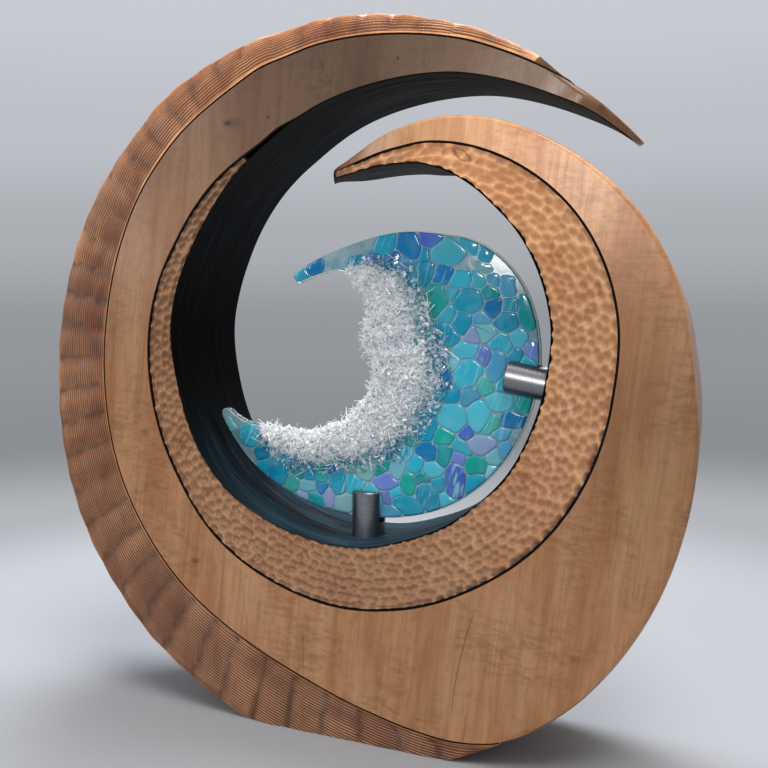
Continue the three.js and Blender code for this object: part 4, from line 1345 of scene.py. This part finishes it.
class GlassShape:
    """The crescent's outline, measured on the frame's clear sheet."""

    # Degrees that each round tip takes up, the share of them that it fills, and the least width measured
    TIP_RUN = 5.0
    TIP_SHARE = 0.9
    LEAST_WIDTH = 2

    def __init__(self, centre_x: float) -> None:
        """Measure the sheet and the heap.

        Args:
            centre_x: The bore centre's place along X in millimetres.
        """
        self.centre = Vector((centre_x + HOLLOW_FROM_BORE[0], BORE_CENTRE_HEIGHT + HOLLOW_FROM_BORE[1]))
        self.outer, self.inner, self.tips = self.measured(Node.SHEET)
        self.heap_outer, self.heap_inner, _ = self.measured(Node.HEAP)
        self.sheet_front, self.sheet_back = (corner.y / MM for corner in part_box(Node.SHEET.value))
        self.front, self.mosaic_back = (corner.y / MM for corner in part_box(Node.MOSAIC.value))

    def measured(self, node: Node) -> tuple[Curve, Curve, tuple[float, float]]:
        """Find a solid's outer and inner edge round the hollow.

        Args:
            node: The solid.

        Returns:
            The outer and inner radius by angle, and the angles of its two ends.
        """
        points = np.array([vertex.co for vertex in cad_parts[node.value].data.vertices]) / MM
        across, up = points[:, 0] - self.centre.x, points[:, 2] - self.centre.y
        radius = np.hypot(across, up)
        angle = np.round(np.degrees(np.arctan2(up, across)), 1)
        outer, inner = {}, {}
        for station in np.unique(angle):
            here = radius[angle == station]
            if here.max() - here.min() > self.LEAST_WIDTH:
                outer[station], inner[station] = here.max(), here.min()
        ends = (float(angle.min()), float(angle.max()))
        return Curve(list(outer), list(outer.values())), Curve(list(inner), list(inner.values())), ends

    def at(self, angle: float, radius: float) -> Vector:
        """Give the point at an angle and radius about the hollow, in millimetres along X and Z."""
        turn = math.radians(angle)
        return self.centre + Vector((radius * math.cos(turn), radius * math.sin(turn)))

    def outline(self, inset: float, count: int = 130) -> list[Vector]:
        """Give the crescent's closed outline, with round tips.

        Args:
            inset: How far inside the sheet's edge it runs, in millimetres.
            count: Points along each of its two long sides.

        Returns:
            Points in millimetres along X and Z.
        """
        low, high = self.tips[0] + self.TIP_RUN, self.tips[1] - self.TIP_RUN
        angles = np.linspace(high, low, count)
        outer = [self.at(a, float(self.outer(a)) - inset) for a in angles]
        inner = [self.at(a, float(self.inner(a)) + inset) for a in angles]

        def cap(base: float, way: int) -> list[Vector]:
            """Round one tip off, from its outer to its inner edge."""
            middle = float(self.outer(base) + self.inner(base)) / 2
            half = float(self.outer(base) - self.inner(base)) / 2 - inset
            run = way * self.TIP_RUN * self.TIP_SHARE
            turns = np.linspace(0, math.pi, 9)[1:-1]
            return [self.at(base + run * math.sin(turn), middle + half * math.cos(turn)) for turn in turns]

        return outer + cap(low, -1) + inner[::-1] + cap(high, 1)[::-1]


@dataclass
class Crescent:
    """The fused crescent: clear sheet, milky bed and coloured pieces; the heap of crushed glass is made
    apart.
    """

    shape: GlassShape
    palette: tuple[tuple[str, float], ...] = (
        ("#0796BC", 3.0), ("#17A6C8", 3.0), ("#08969E", 2.4), ("#0AA79F", 1.8), ("#2FB4D0", 2.8),
        ("#4A70D0", 1.5), ("#6C86D2", 1.3), ("#4FA3CC", 1.8), ("#3FB0A4", 1.4), ("#7CC8D6", 1.2),
        ("#8FA5D0", 0.8), ("#7FB4B8", 0.6), ("#0579B8", 1.8), ("#4FC2DA", 1.8),
    )
    piece_sizes: tuple[float, float] = (5.6, 11.0)
    filler_size: float = 4.4
    stretch: tuple[float, float] = (1.0, 1.5)
    crowding: float = 0.84
    joint: float = 0.7
    border: float = 1.0
    # How far the pieces run on under the heap, and how many degrees they keep from the tips
    under_heap: float = 5.0
    tip_gap: float = 2.0
    # Tries at seating a piece, of which so many are for large ones
    tries: int = 7000
    large_tries: int = 2600
    # Where a piece's reach is first looked at, in steps of so much, and the least that makes a piece
    first_reach: float = 0.4
    reach_step: float = 0.2
    least_reach: float = 0.9
    sides: int = 60
    marbled_share: float = 0.3
    # How far the pieces stand above the mosaic's solid, and their rounded edge: how far in and up, by steps
    rise: float = 0.75
    edge_steps: tuple[tuple[float, float], ...] = ((0.3, 0.4), (0.45, 0.22), (0.8, 0.13))
    # Roundings of the sheet and the bed, and how far the bed lies inside the sheet, its front and its back
    sheet_rounding: float = 1.4
    bed_rounding: float = 0.6
    bed_inset: float = 0.9
    bed_front: float = 0.6
    bed_back: float = 0.15
    seat_gap: float = 0.02
    seed: int = 77

    def plate(self, name: str, outline: list[Vector], front: float, back: float,
              rounding: float) -> bpy.types.Object:
        """Make a flat plate with rounded edges.

        Args:
            name: The piece's name.
            outline: Its outline in millimetres along X and Z.
            front: Its front's place along Y in millimetres.
            back: Its back's place.
            rounding: Radius of its edges.

        Returns:
            The piece.
        """
        bm = bmesh.new()
        corners = [bm.verts.new((point.x * MM, front * MM, point.y * MM)) for point in outline]
        face = bm.faces.new(corners)
        grown = bmesh.ops.extrude_face_region(bm, geom=[face])["geom"]
        moved = [item for item in grown if isinstance(item, bmesh.types.BMVert)]
        bmesh.ops.translate(bm, verts=moved, vec=(0, (back - front) * MM, 0))
        bmesh.ops.recalc_face_normals(bm, faces=bm.faces)
        rims = [edge for edge in bm.edges if edge.calc_face_angle(0) > math.radians(60)
                and abs(edge.verts[0].co.y - edge.verts[1].co.y) < 1e-6]
        bmesh.ops.bevel(bm, geom=rims, offset=rounding * MM, segments=4, profile=0.5, affect="EDGES",
                        material=-1)
        return finished(bm, name, 60)

    def seats(self, rng: np.random.Generator) -> np.ndarray:
        """Scatter the coloured pieces' middles over the mosaic.

        Args:
            rng: Source of the random draws.

        Returns:
            Rows of place along X and Z and size, in millimetres, then stretch and the turn of the long way.
        """
        chosen: list[tuple[float, ...]] = []
        filler_sizes = (self.filler_size, self.piece_sizes[0])
        for number in range(self.tries):
            size = rng.uniform(*(self.piece_sizes if number < self.large_tries else filler_sizes))
            angle, share = rng.uniform(*self.shape.tips), rng.uniform(0, 1)
            low, high = (float(limit) for limit in self.limits(np.array(angle)))
            if high - low < 4 * self.joint:
                continue
            place = self.shape.at(angle, math.sqrt(low ** 2 + (high ** 2 - low ** 2) * share))
            apart = (math.hypot(place.x - x, place.y - z) > (size + other) * self.crowding
                     for x, z, other, *_ in chosen)
            if all(apart):
                chosen.append((place.x, place.y, size, rng.uniform(*self.stretch), rng.uniform(0, math.pi)))
        return np.array(chosen)

    def limits(self, angle: np.ndarray) -> tuple[np.ndarray, np.ndarray]:
        """Say between which radii coloured pieces may lie at each angle."""
        low = self.shape.inner(angle) + self.border
        first, last = self.shape.heap_outer.places[0], self.shape.heap_outer.places[-1]
        at_heap = np.maximum(low, self.shape.heap_outer(angle) - self.under_heap)
        low = np.where((first < angle) & (angle < last), at_heap, low)
        return low, self.shape.outer(angle) - self.border

    def reaches(self, seats: np.ndarray, which: int) -> np.ndarray:
        """Say how far one piece reaches all round before a neighbour or the crescent's edge is nearer.

        Args:
            seats: All the pieces' rows.
            which: The piece's number.

        Returns:
            Distances in millimetres, one for each of its sides.
        """
        x, z, size, stretch, turn = seats.T
        ways = np.linspace(0, 2 * math.pi, self.sides, endpoint=False)[:, None]
        run = np.arange(self.first_reach, 2.1 * size[which], self.reach_step)[None, :]
        across, up = x[which] + run * np.cos(ways), z[which] + run * np.sin(ways)
        near = np.flatnonzero(np.hypot(x - x[which], z - z[which]) < 4.5 * self.piece_sizes[1])
        away_x, away_z = across[..., None] - x[near], up[..., None] - z[near]
        along = (away_x * np.cos(turn[near]) + away_z * np.sin(turn[near])) / stretch[near]
        beside = (away_z * np.cos(turn[near]) - away_x * np.sin(turn[near])) * stretch[near]
        power = along ** 2 + beside ** 2 - size[near] ** 2
        own = power[..., list(near).index(which)]
        mine = own <= power.min(axis=-1) + 1e-9
        from_x, from_z = across - self.shape.centre.x, up - self.shape.centre.y
        angle, radius = np.degrees(np.arctan2(from_z, from_x)), np.hypot(from_x, from_z)
        low, high = self.limits(angle)
        mine &= (low < radius) & (radius < high)
        mine &= (self.shape.tips[0] + self.tip_gap < angle) & (angle < self.shape.tips[1] - self.tip_gap)
        count = np.where(mine.all(axis=1), mine.shape[1], np.argmin(mine, axis=1))
        return self.first_reach + self.reach_step * count - self.joint / 2

    def mosaic(self) -> bpy.types.Object:
        """Make the coloured pieces, low and gently domed, in a generic scatter."""
        rng = np.random.default_rng(self.seed)
        seats = self.seats(rng)
        weights = np.array([weight for _, weight in self.palette])
        bm = bmesh.new()
        tint = bm.verts.layers.float_color.new("tint")
        streaky = bm.verts.layers.float.new("streaky")
        edge = bm.verts.layers.float.new("edge")
        front, seat = self.shape.front, self.shape.mosaic_back - self.seat_gap
        for which, (x, z, *_) in enumerate(seats):
            colour = linear(self.palette[rng.choice(len(weights), p=weights / weights.sum())][0])
            shade = rng.uniform(0.85, 1.12)
            marbled = rng.uniform(0.4, 0.9) if rng.random() < self.marbled_share else 0.0
            reaches = self.reaches(seats, which)
            for _ in range(int(rng.integers(2, 9))):
                reaches = (np.roll(reaches, 1) + 2 * reaches + np.roll(reaches, -1)) / 4
            if reaches.min() < self.least_reach:
                continue
            ring = bmesh.ops.create_circle(bm, cap_ends=True, segments=self.sides, radius=1)["verts"]
            for k, vertex in enumerate(ring):
                way = 2 * math.pi * k / self.sides
                across, up = x + reaches[k] * math.cos(way), z + reaches[k] * math.sin(way)
                vertex.co = Vector((across, seat, up)) * MM
            cap = ring[0].link_faces[0]
            cap.normal_update()
            grown = bmesh.ops.extrude_face_region(bm, geom=[cap])["geom"]
            top = next(item for item in grown if isinstance(item, bmesh.types.BMFace))
            bmesh.ops.translate(bm, verts=top.verts, vec=(0, (front + self.rise - seat) * MM, 0))
            parts = set(ring) | set(top.verts)
            dome = min(1.0, float(reaches.min()) / 5)
            for inset, rise in self.edge_steps:
                made = bmesh.ops.inset_region(bm, faces=[top], thickness=inset * dome * MM,
                                              use_even_offset=True)
                bmesh.ops.translate(bm, verts=top.verts, vec=(0, -rise * MM, 0))
                parts |= {vertex for face in made["faces"] for vertex in face.verts}
            inside = set(top.verts)
            for vertex in parts:
                vertex[tint] = [channel * shade for channel in colour[:3]] + [1.0]
                vertex[streaky] = marbled
                vertex[edge] = 0.0 if vertex in inside else 1.0
        bmesh.ops.recalc_face_normals(bm, faces=bm.faces)
        LOG.info("%d coloured pieces", len(seats))
        return finished(bm, "coloured_glass_pieces", 50)

    def build(self) -> None:
        """Make and dress the sheet, the bed and the pieces."""
        shape = self.shape
        sheet = self.plate("clear_glass_sheet", shape.outline(0.0), shape.sheet_front, shape.sheet_back,
                           self.sheet_rounding)
        dress(sheet, ClearGlass().material(), Slot.CLEAR_GLASS, Node.SHEET)
        bed = self.plate("milky_glass_bed", shape.outline(self.bed_inset), shape.front + self.bed_front,
                         shape.mosaic_back - self.bed_back, self.bed_rounding)
        dress(bed, MilkyGlass().material(), Slot.MOSAIC_GLASS, Node.MOSAIC)
        dress(self.mosaic(), MosaicGlass().material(), Slot.MOSAIC_GLASS, Node.MOSAIC)


@dataclass
class CrushedHeap:
    """The bank of crushed glass along the hollow: a lumpy core, chips all over it and long slivers."""

    shape: GlassShape
    chips: int = 4600
    slivers: int = 2300
    lot: int = 150
    chip_size: tuple[float, float] = (1.0, 5.2)
    sliver_length: tuple[float, float] = (6.0, 20.0)
    white: tuple[str, ...] = ("#FFFFFF", "#F2F6F8", "#E2EAEE", "#FFFFFF")
    shadow: str = "#C4D0D8"
    tinted: tuple[str, ...] = ("#6FB6C8", "#3D93B8", "#5E84C0", "#4FAFA8", "#9CC9D6", "#C8DDE6")
    # The core's lumps in metres: how many to a metre and how high each, how far it is sunk, and its flat foot
    lumps: tuple[tuple[float, float], ...] = ((260, 0.0009), (620, 0.0005))
    sunk: float = 0.0008
    foot: float = 0.0015
    # Share of the chips at the heap's foot that have spilled over the mosaic, and how far in millimetres
    spilled_share: float = 0.5
    spill: float = 8
    seed: int = 301

    def core(self) -> bpy.types.Object:
        """Make the lumpy core from the frame's own heap."""
        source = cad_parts[Node.HEAP.value].data
        bm = bmesh.new()
        bm.from_mesh(source)
        bmesh.ops.remove_doubles(bm, verts=bm.verts, dist=1e-6)
        bmesh.ops.subdivide_edges(bm, edges=bm.edges, cuts=3, use_grid_fill=True)
        bmesh.ops.triangulate(bm, faces=bm.faces)
        back = self.shape.mosaic_back * MM
        tint = bm.verts.layers.float_color.new("tint")
        bm.normal_update()
        for vertex in bm.verts:
            vertex[tint] = linear(self.shadow)
            if vertex.co.y < back - self.foot:
                lump = sum(noise.noise(vertex.co * count) * height for count, height in self.lumps)
                vertex.co += vertex.normal * (lump - self.sunk)
        return finished(bm, "crushed_glass_core", 30)

    def surface_points(self, core: bpy.types.Object, count: int, rng: np.random.Generator) -> list[tuple]:
        """Pick places on the core's front, evenly by area.

        Args:
            core: The core.
            count: How many.
            rng: Source of the random draws.

        Returns:
            Places and normals.
        """
        mesh = core.data
        faces = [face for face in mesh.polygons if face.normal.y < 0.35]
        areas = np.array([face.area for face in faces])
        found = []
        for k in rng.choice(len(faces), count, p=areas / areas.sum()):
            corners = [mesh.vertices[v].co for v in faces[k].vertices]
            mix = rng.dirichlet((1, 1, 1))
            place = sum((corner * float(part) for corner, part in zip(corners, mix)), Vector())
            found.append((place, faces[k].normal.copy()))
        return found

    def near_mosaic(self, place: Vector) -> float:
        """Say how near a place is to the heap's foot by the mosaic: 0 at the hollow, 1 at the foot."""
        point = Vector((place.x / MM, place.z / MM)) - self.shape.centre
        angle = math.degrees(math.atan2(point.y, point.x))
        low, high = float(self.shape.heap_inner(angle)), float(self.shape.heap_outer(angle))
        return (point.length - low) / max(high - low, 1.0)

    def chip(self, bm: bmesh.types.BMesh, long: bool, place: Vector, normal: Vector,
             rng: np.random.Generator) -> None:
        """Add one chip or sliver.

        Args:
            bm: Where it goes.
            long: Whether it is a sliver.
            place: The point of the core that it lies at.
            normal: The core's outward direction there.
            rng: Source of the random draws.
        """
        foot = self.near_mosaic(place)
        spilled = place.copy()
        if foot > 0.8 and rng.random() < self.spilled_share:
            outward = Vector((place.x / MM - self.shape.centre.x, 0, place.z / MM - self.shape.centre.y))
            spilled += outward.normalized() * float(rng.uniform(0, self.spill)) * MM
            spilled.y = (self.shape.front + float(rng.uniform(-0.6, 0.6))) * MM
        if long:
            size = Vector((rng.uniform(0.35, 0.8), rng.uniform(0.35, 0.8), rng.uniform(*self.sliver_length)))
            flat = normal.orthogonal().normalized()
            swing = Matrix.Rotation(float(rng.uniform(0, 2 * math.pi)), 4, normal)
            lean = swing @ flat + normal * float(rng.uniform(0, 0.7))
            turn = lean.to_track_quat("Z", "Y").to_matrix().to_4x4()
        else:
            main = self.chip_size[0] + (self.chip_size[1] - self.chip_size[0]) * float(rng.random()) ** 1.6
            size = Vector((main, main * rng.uniform(0.35, 0.8), main * rng.uniform(0.25, 0.6)))
            turn = Euler(rng.uniform(0, 2 * math.pi, 3)).to_matrix().to_4x4()
        size *= MM
        raised = spilled + normal * (float(rng.uniform(-0.2, 1.6)) * MM)
        placing = Matrix.Translation(raised) @ turn @ Matrix.Diagonal((*size, 1))
        made = bmesh.ops.create_cone(bm, cap_ends=True, segments=int(rng.integers(4, 6)), radius1=0.5,
                                     radius2=float(rng.uniform(0.2, 0.5)), depth=1.0, matrix=placing)["verts"]
        family = self.tinted if rng.random() < smooth_step(0.62, 1.0, np.array(foot)) * 0.75 else self.white
        colour = linear(family[int(rng.integers(len(family)))])
        tint = bm.verts.layers.float_color["tint"]
        for vertex in made:
            vertex.co += Vector(rng.normal(0, 0.12, 3)) * float(size.y)
            vertex[tint] = colour

    def scatter(self, core: bpy.types.Object) -> bpy.types.Object:
        """Strew chips and slivers over the core, in small lots because a large bmesh is slow to add to."""
        rng = np.random.default_rng(self.seed)
        places = self.surface_points(core, self.chips + self.slivers, rng)
        whole = bmesh.new()
        whole.verts.layers.float_color.new("tint")
        for first in range(0, len(places), self.lot):
            bm = bmesh.new()
            bm.verts.layers.float_color.new("tint")
            for k, (place, normal) in enumerate(places[first:first + self.lot], first):
                self.chip(bm, k >= self.chips, place, normal, rng)
            mesh = bpy.data.meshes.new("lot")
            bm.to_mesh(mesh)
            bm.free()
            whole.from_mesh(mesh)
            bpy.data.meshes.remove(mesh)
        return finished(whole, "crushed_glass_chips", 15)

    def build(self) -> None:
        """Make and dress the heap."""
        glass = CrushedGlass().material()
        core = self.core()
        chips = self.scatter(core)
        dress(core, glass, Slot.CRUSHED_GLASS, Node.HEAP)
        dress(chips, glass, Slot.CRUSHED_GLASS, Node.HEAP)


@dataclass
class Clamp:
    """One slotted round bar that stands on the bore; its stud, pads and grub screw keep their own solids."""

    name: str
    angle: float
    shape: WoodShape
    chamfer: float = 0.7
    slot_depth: float = 23.5
    slot_width: float = 10.5
    grub_height: float = 25.0
    grub_hole: float = 5.6
    # How far the cutters run out of the bar, and the rounding of the cut edges
    overrun: float = 5
    edge_break: float = 0.25
    turns: int = 96

    def seat(self) -> Matrix:
        """Give the frame whose Z runs from the bore towards its centre, in metres."""
        low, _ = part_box("lower_clamp_bar")
        distance = BORE_CENTRE_HEIGHT * MM - low.z
        turn = math.radians(self.angle)
        out = Vector((math.cos(turn), 0, math.sin(turn)))
        foot = Vector((self.shape.centre_x * MM, 0, BORE_CENTRE_HEIGHT * MM)) + out * distance
        return Matrix.Translation(foot) @ Matrix.Rotation(math.atan2(-out.x, -out.z), 4, "Y")

    def turned_bar(self, name: str, radius: float, low: float, high: float,
                   chamfer: float) -> bpy.types.Object:
        """Turn a round bar with chamfered ends, in its own frame in metres."""
        bm = bmesh.new()
        profile = [(0, low), (radius - chamfer, low), (radius, low + chamfer), (radius, high - chamfer),
                   (radius - chamfer, high), (0, high)]
        points = [bm.verts.new((x * MM, 0, z * MM)) for x, z in profile]
        edges = [bm.edges.new(pair) for pair in zip(points, points[1:])]
        bmesh.ops.spin(bm, geom=points + edges, cent=(0, 0, 0), axis=(0, 0, 1), angle=2 * math.pi,
                       steps=self.turns, use_merge=True)
        bmesh.ops.remove_doubles(bm, verts=bm.verts, dist=1e-6)
        bmesh.ops.recalc_face_normals(bm, faces=bm.faces)
        return finished(bm, name, 30)

    def cut(self, piece: bpy.types.Object, cutter: bpy.types.Object) -> None:
        """Cut one piece by another, which is then deleted."""
        modifier = piece.modifiers.new("cut", "BOOLEAN")
        modifier.operation = "DIFFERENCE"
        modifier.solver = "EXACT"
        modifier.object = cutter
        evaluated = piece.evaluated_get(bpy.context.evaluated_depsgraph_get())
        mesh = bpy.data.meshes.new_from_object(evaluated)
        piece.modifiers.clear()
        piece.data = mesh
        bpy.data.objects.remove(cutter)

    def build(self, metal: BrushedAluminium) -> None:
        """Make the bar, cut its slot and screw hole, and dress it."""
        low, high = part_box("lower_clamp_bar")
        radius, length = (high.x - low.x) / 2 / MM, (high.z - low.z) / MM
        bar = self.turned_bar(self.name + "_turned_bar", radius, 0, length, self.chamfer)
        bm = bmesh.new()
        middle = (length - self.slot_depth + length + self.overrun) / 2
        sides = (3 * radius * MM, self.slot_width * MM, (self.slot_depth + self.overrun) * MM, 1)
        placing = Matrix.Translation((0, 0, middle * MM)) @ Matrix.Diagonal(sides)
        bmesh.ops.create_cube(bm, size=1, matrix=placing)
        self.cut(bar, finished(bm, "slot_cutter"))
        hole = self.turned_bar("hole_cutter", self.grub_hole / 2, 0, radius + self.overrun, 0.01)
        backwards = Matrix.Rotation(-math.pi / 2, 4, "X")
        hole.data.transform(Matrix.Translation((0, 0, self.grub_height * MM)) @ backwards)
        self.cut(bar, hole)
        bm = bmesh.new()
        bm.from_mesh(bar.data)
        corners = [edge for edge in bm.edges if len(edge.link_faces) == 2
                   and edge.calc_face_angle(0) > math.radians(60)]
        bmesh.ops.bevel(bm, geom=corners, offset=self.edge_break * MM, segments=2, profile=0.5,
                        affect="EDGES", material=-1, clamp_overlap=True)
        bm.to_mesh(bar.data)
        bm.free()
        seat = self.seat()
        bar.data.transform(seat)
        for polygon in bar.data.polygons:
            polygon.use_smooth = True
        bar.data.set_sharp_from_angle(angle=math.radians(30))
        axis = (seat.to_3x3() @ Vector((0, 0, 1))).normalized()
        dress(bar, metal.material(axis), Slot.ALUMINIUM)
        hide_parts(self.name + "_bar")


def dress_small_parts() -> None:
    """Give the studs, pads and grub screws, which keep their own solids, their finishes."""
    finishes = {("_stud", "_grub_screw"): ZincPlatedSteel().material(), ("_pad",): BlackRubber().material()}
    for name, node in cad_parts.items():
        for endings, finish in finishes.items():
            if name.endswith(endings):
                node.data.materials.clear()
                node.data.materials.append(finish)


@dataclass
class Studio:
    """The camera, the pale table, the grey surroundings and the soft lights."""

    table_colour: str = "#A0A3A8"
    table_speck: str = "#9A9DA2"
    table_solid: float = 0.46
    table_gone: float = 0.78
    table_drop: float = 0.0002
    # Backdrop grey by height above the horizon, as the sine of that angle
    backdrop: tuple[tuple[float, str], ...] = (
        (-0.30, "#BEC1C6"), (-0.23, "#B3B6BB"), (-0.16, "#8B8E93"), (-0.05, "#94979C"), (0.04, "#ABAEB3"),
        (0.14, "#BDC0C6"), (0.26, "#C8CBD2"),
    )
    surround: str = "#F4F6FA"
    ambient: float = 0.4

    def camera(self) -> None:
        """Place the camera as in the photograph."""
        data = bpy.data.cameras.new("camera")
        data.sensor_width = SENSOR_WIDTH
        data.lens = CAMERA_FOCAL_SHARE * SENSOR_WIDTH
        data.clip_start, data.clip_end = 0.01, 50
        made = bpy.data.objects.new("camera", data)
        made.location = Vector(CAMERA_PLACE) * MM
        made.rotation_euler = (math.radians(90 - CAMERA_PITCH), 0, math.radians(CAMERA_TURN))
        bpy.context.scene.collection.objects.link(made)
        bpy.context.scene.camera = made

    def table(self) -> None:
        """Lay the round pale table top, which fades out at its edge."""
        bm = bmesh.new()
        bmesh.ops.create_circle(bm, cap_ends=True, segments=96, radius=self.table_gone)
        made = finished(bm, "table")
        made.location.z = -self.table_drop
        surface = Surface("pale_table_top", Roughness=0.7, Specular_IOR_Level=0.3)
        speck = surface.grain(0, (3, 3, 3), 2)
        place = surface.add("ShaderNodeTexCoord").outputs["Object"]
        away = surface.add("ShaderNodeVectorMath", {0: place}, operation="LENGTH").outputs["Value"]
        solid = surface.add("ShaderNodeMapRange", {"Value": away, 1: self.table_gone, 2: self.table_solid},
                            interpolation_type="SMOOTHSTEP")
        surface.drive("Alpha", solid.outputs[0])
        colour = surface.overlaid(self.table_colour, self.table_speck, speck, (0.3, 0.7), 0.3)
        made.data.materials.append(surface.finish(colour))

    def world(self) -> None:
        """Show the grey backdrop, and light everything evenly with a pale surround."""
        world = bpy.data.worlds.new("studio")
        bpy.context.scene.world = world
        world.use_nodes = True
        nodes = Nodes(world.node_tree)
        low, high = self.backdrop[0][0], self.backdrop[-1][0]
        direction = nodes.add("ShaderNodeTexCoord").outputs["Generated"]
        axes = nodes.add("ShaderNodeSeparateXYZ", {0: direction})
        scale = nodes.add("ShaderNodeMapRange", {"Value": axes.outputs[2], 1: low, 2: high})
        ramp = nodes.add("ShaderNodeValToRGB", {0: scale.outputs[0]})
        for k, (height, colour) in enumerate(self.backdrop):
            place = (height - low) / (high - low)
            stop = ramp.color_ramp.elements[k] if k < 2 else ramp.color_ramp.elements.new(place)
            stop.position = place
            stop.color = linear(colour)
        ramp.color_ramp.interpolation = "EASE"
        seen = nodes.add("ShaderNodeBackground", {0: ramp.outputs[0]})
        light = nodes.add("ShaderNodeBackground", {0: self.surround, 1: self.ambient})
        rays = nodes.add("ShaderNodeLightPath").outputs
        direct = nodes.add("ShaderNodeMath", {0: rays["Is Camera Ray"], 1: rays["Is Transmission Ray"]},
                           operation="MAXIMUM")
        shown = nodes.add("ShaderNodeMath", {0: direct.outputs[0], 1: rays["Is Glossy Ray"]},
                          operation="MAXIMUM")
        mix = nodes.add("ShaderNodeMixShader", {0: shown.outputs[0], 1: light.outputs[0], 2: seen.outputs[0]})
        nodes.add("ShaderNodeOutputWorld", {0: mix.outputs[0]})

    def lamp(self, name: str, place: tuple[float, float, float], size: float, watts: float,
             colour: str) -> bpy.types.Object:
        """Hang one square soft light that points at the sculpture's middle.

        Args:
            name: The light's name.
            place: Where it hangs, in metres.
            size: Its side, in metres.
            watts: Its power.
            colour: Its colour.

        Returns:
            The light.
        """
        data = bpy.data.lights.new(name, "AREA")
        data.shape = "SQUARE"
        data.size = size
        data.energy = watts
        data.color = linear(colour)[:3]
        made = bpy.data.objects.new(name, data)
        made.location = place
        towards = Vector((0, 0, 0.25)) - Vector(place)
        made.rotation_euler = towards.to_track_quat("-Z", "Y").to_euler()
        bpy.context.scene.collection.objects.link(made)
        return made

    def build(self) -> None:
        """Set up the studio."""
        self.camera()
        self.table()
        self.world()
        self.lamp("key", (0.8, -0.95, 2.95), 1.4, 60, "#FFFAF4")
        self.lamp("overhead", (-0.2, 0.5, 1.7), 0.9, 34, "#FBFCFF")
        self.lamp("fill", (-1.6, -1.4, 0.9), 1.0, 14, "#F6F9FF")
        # Its mirror image in the oiled face is the pale sheen on the curl's shoulder; it lights nothing else
        self.lamp("sheen", (-0.1, -1.73, 0.7), 0.3, 11, "#FFFCF8").visible_diffuse = False


def main() -> None:
    """Build the sculpture's looks and its studio."""
    logging.basicConfig(level=logging.INFO, format="%(name)s: %(message)s")
    bpy.context.scene.view_settings.view_transform = "Standard"
    Studio().build()
    wood = WoodShape()
    PlainBands(wood).build()
    RibbedRim(wood).build()
    DimpledRing(wood).build()
    BoreLiner(wood).build()
    glass = GlassShape(wood.centre_x)
    Crescent(glass).build()
    CrushedHeap(glass).build()
    metal = BrushedAluminium()
    Clamp("lower_clamp", 270.0, wood).build(metal)
    Clamp("side_clamp", 350.3, wood).build(metal)
    dress_small_parts()
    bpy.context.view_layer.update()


if __name__ == "__main__":
    main()
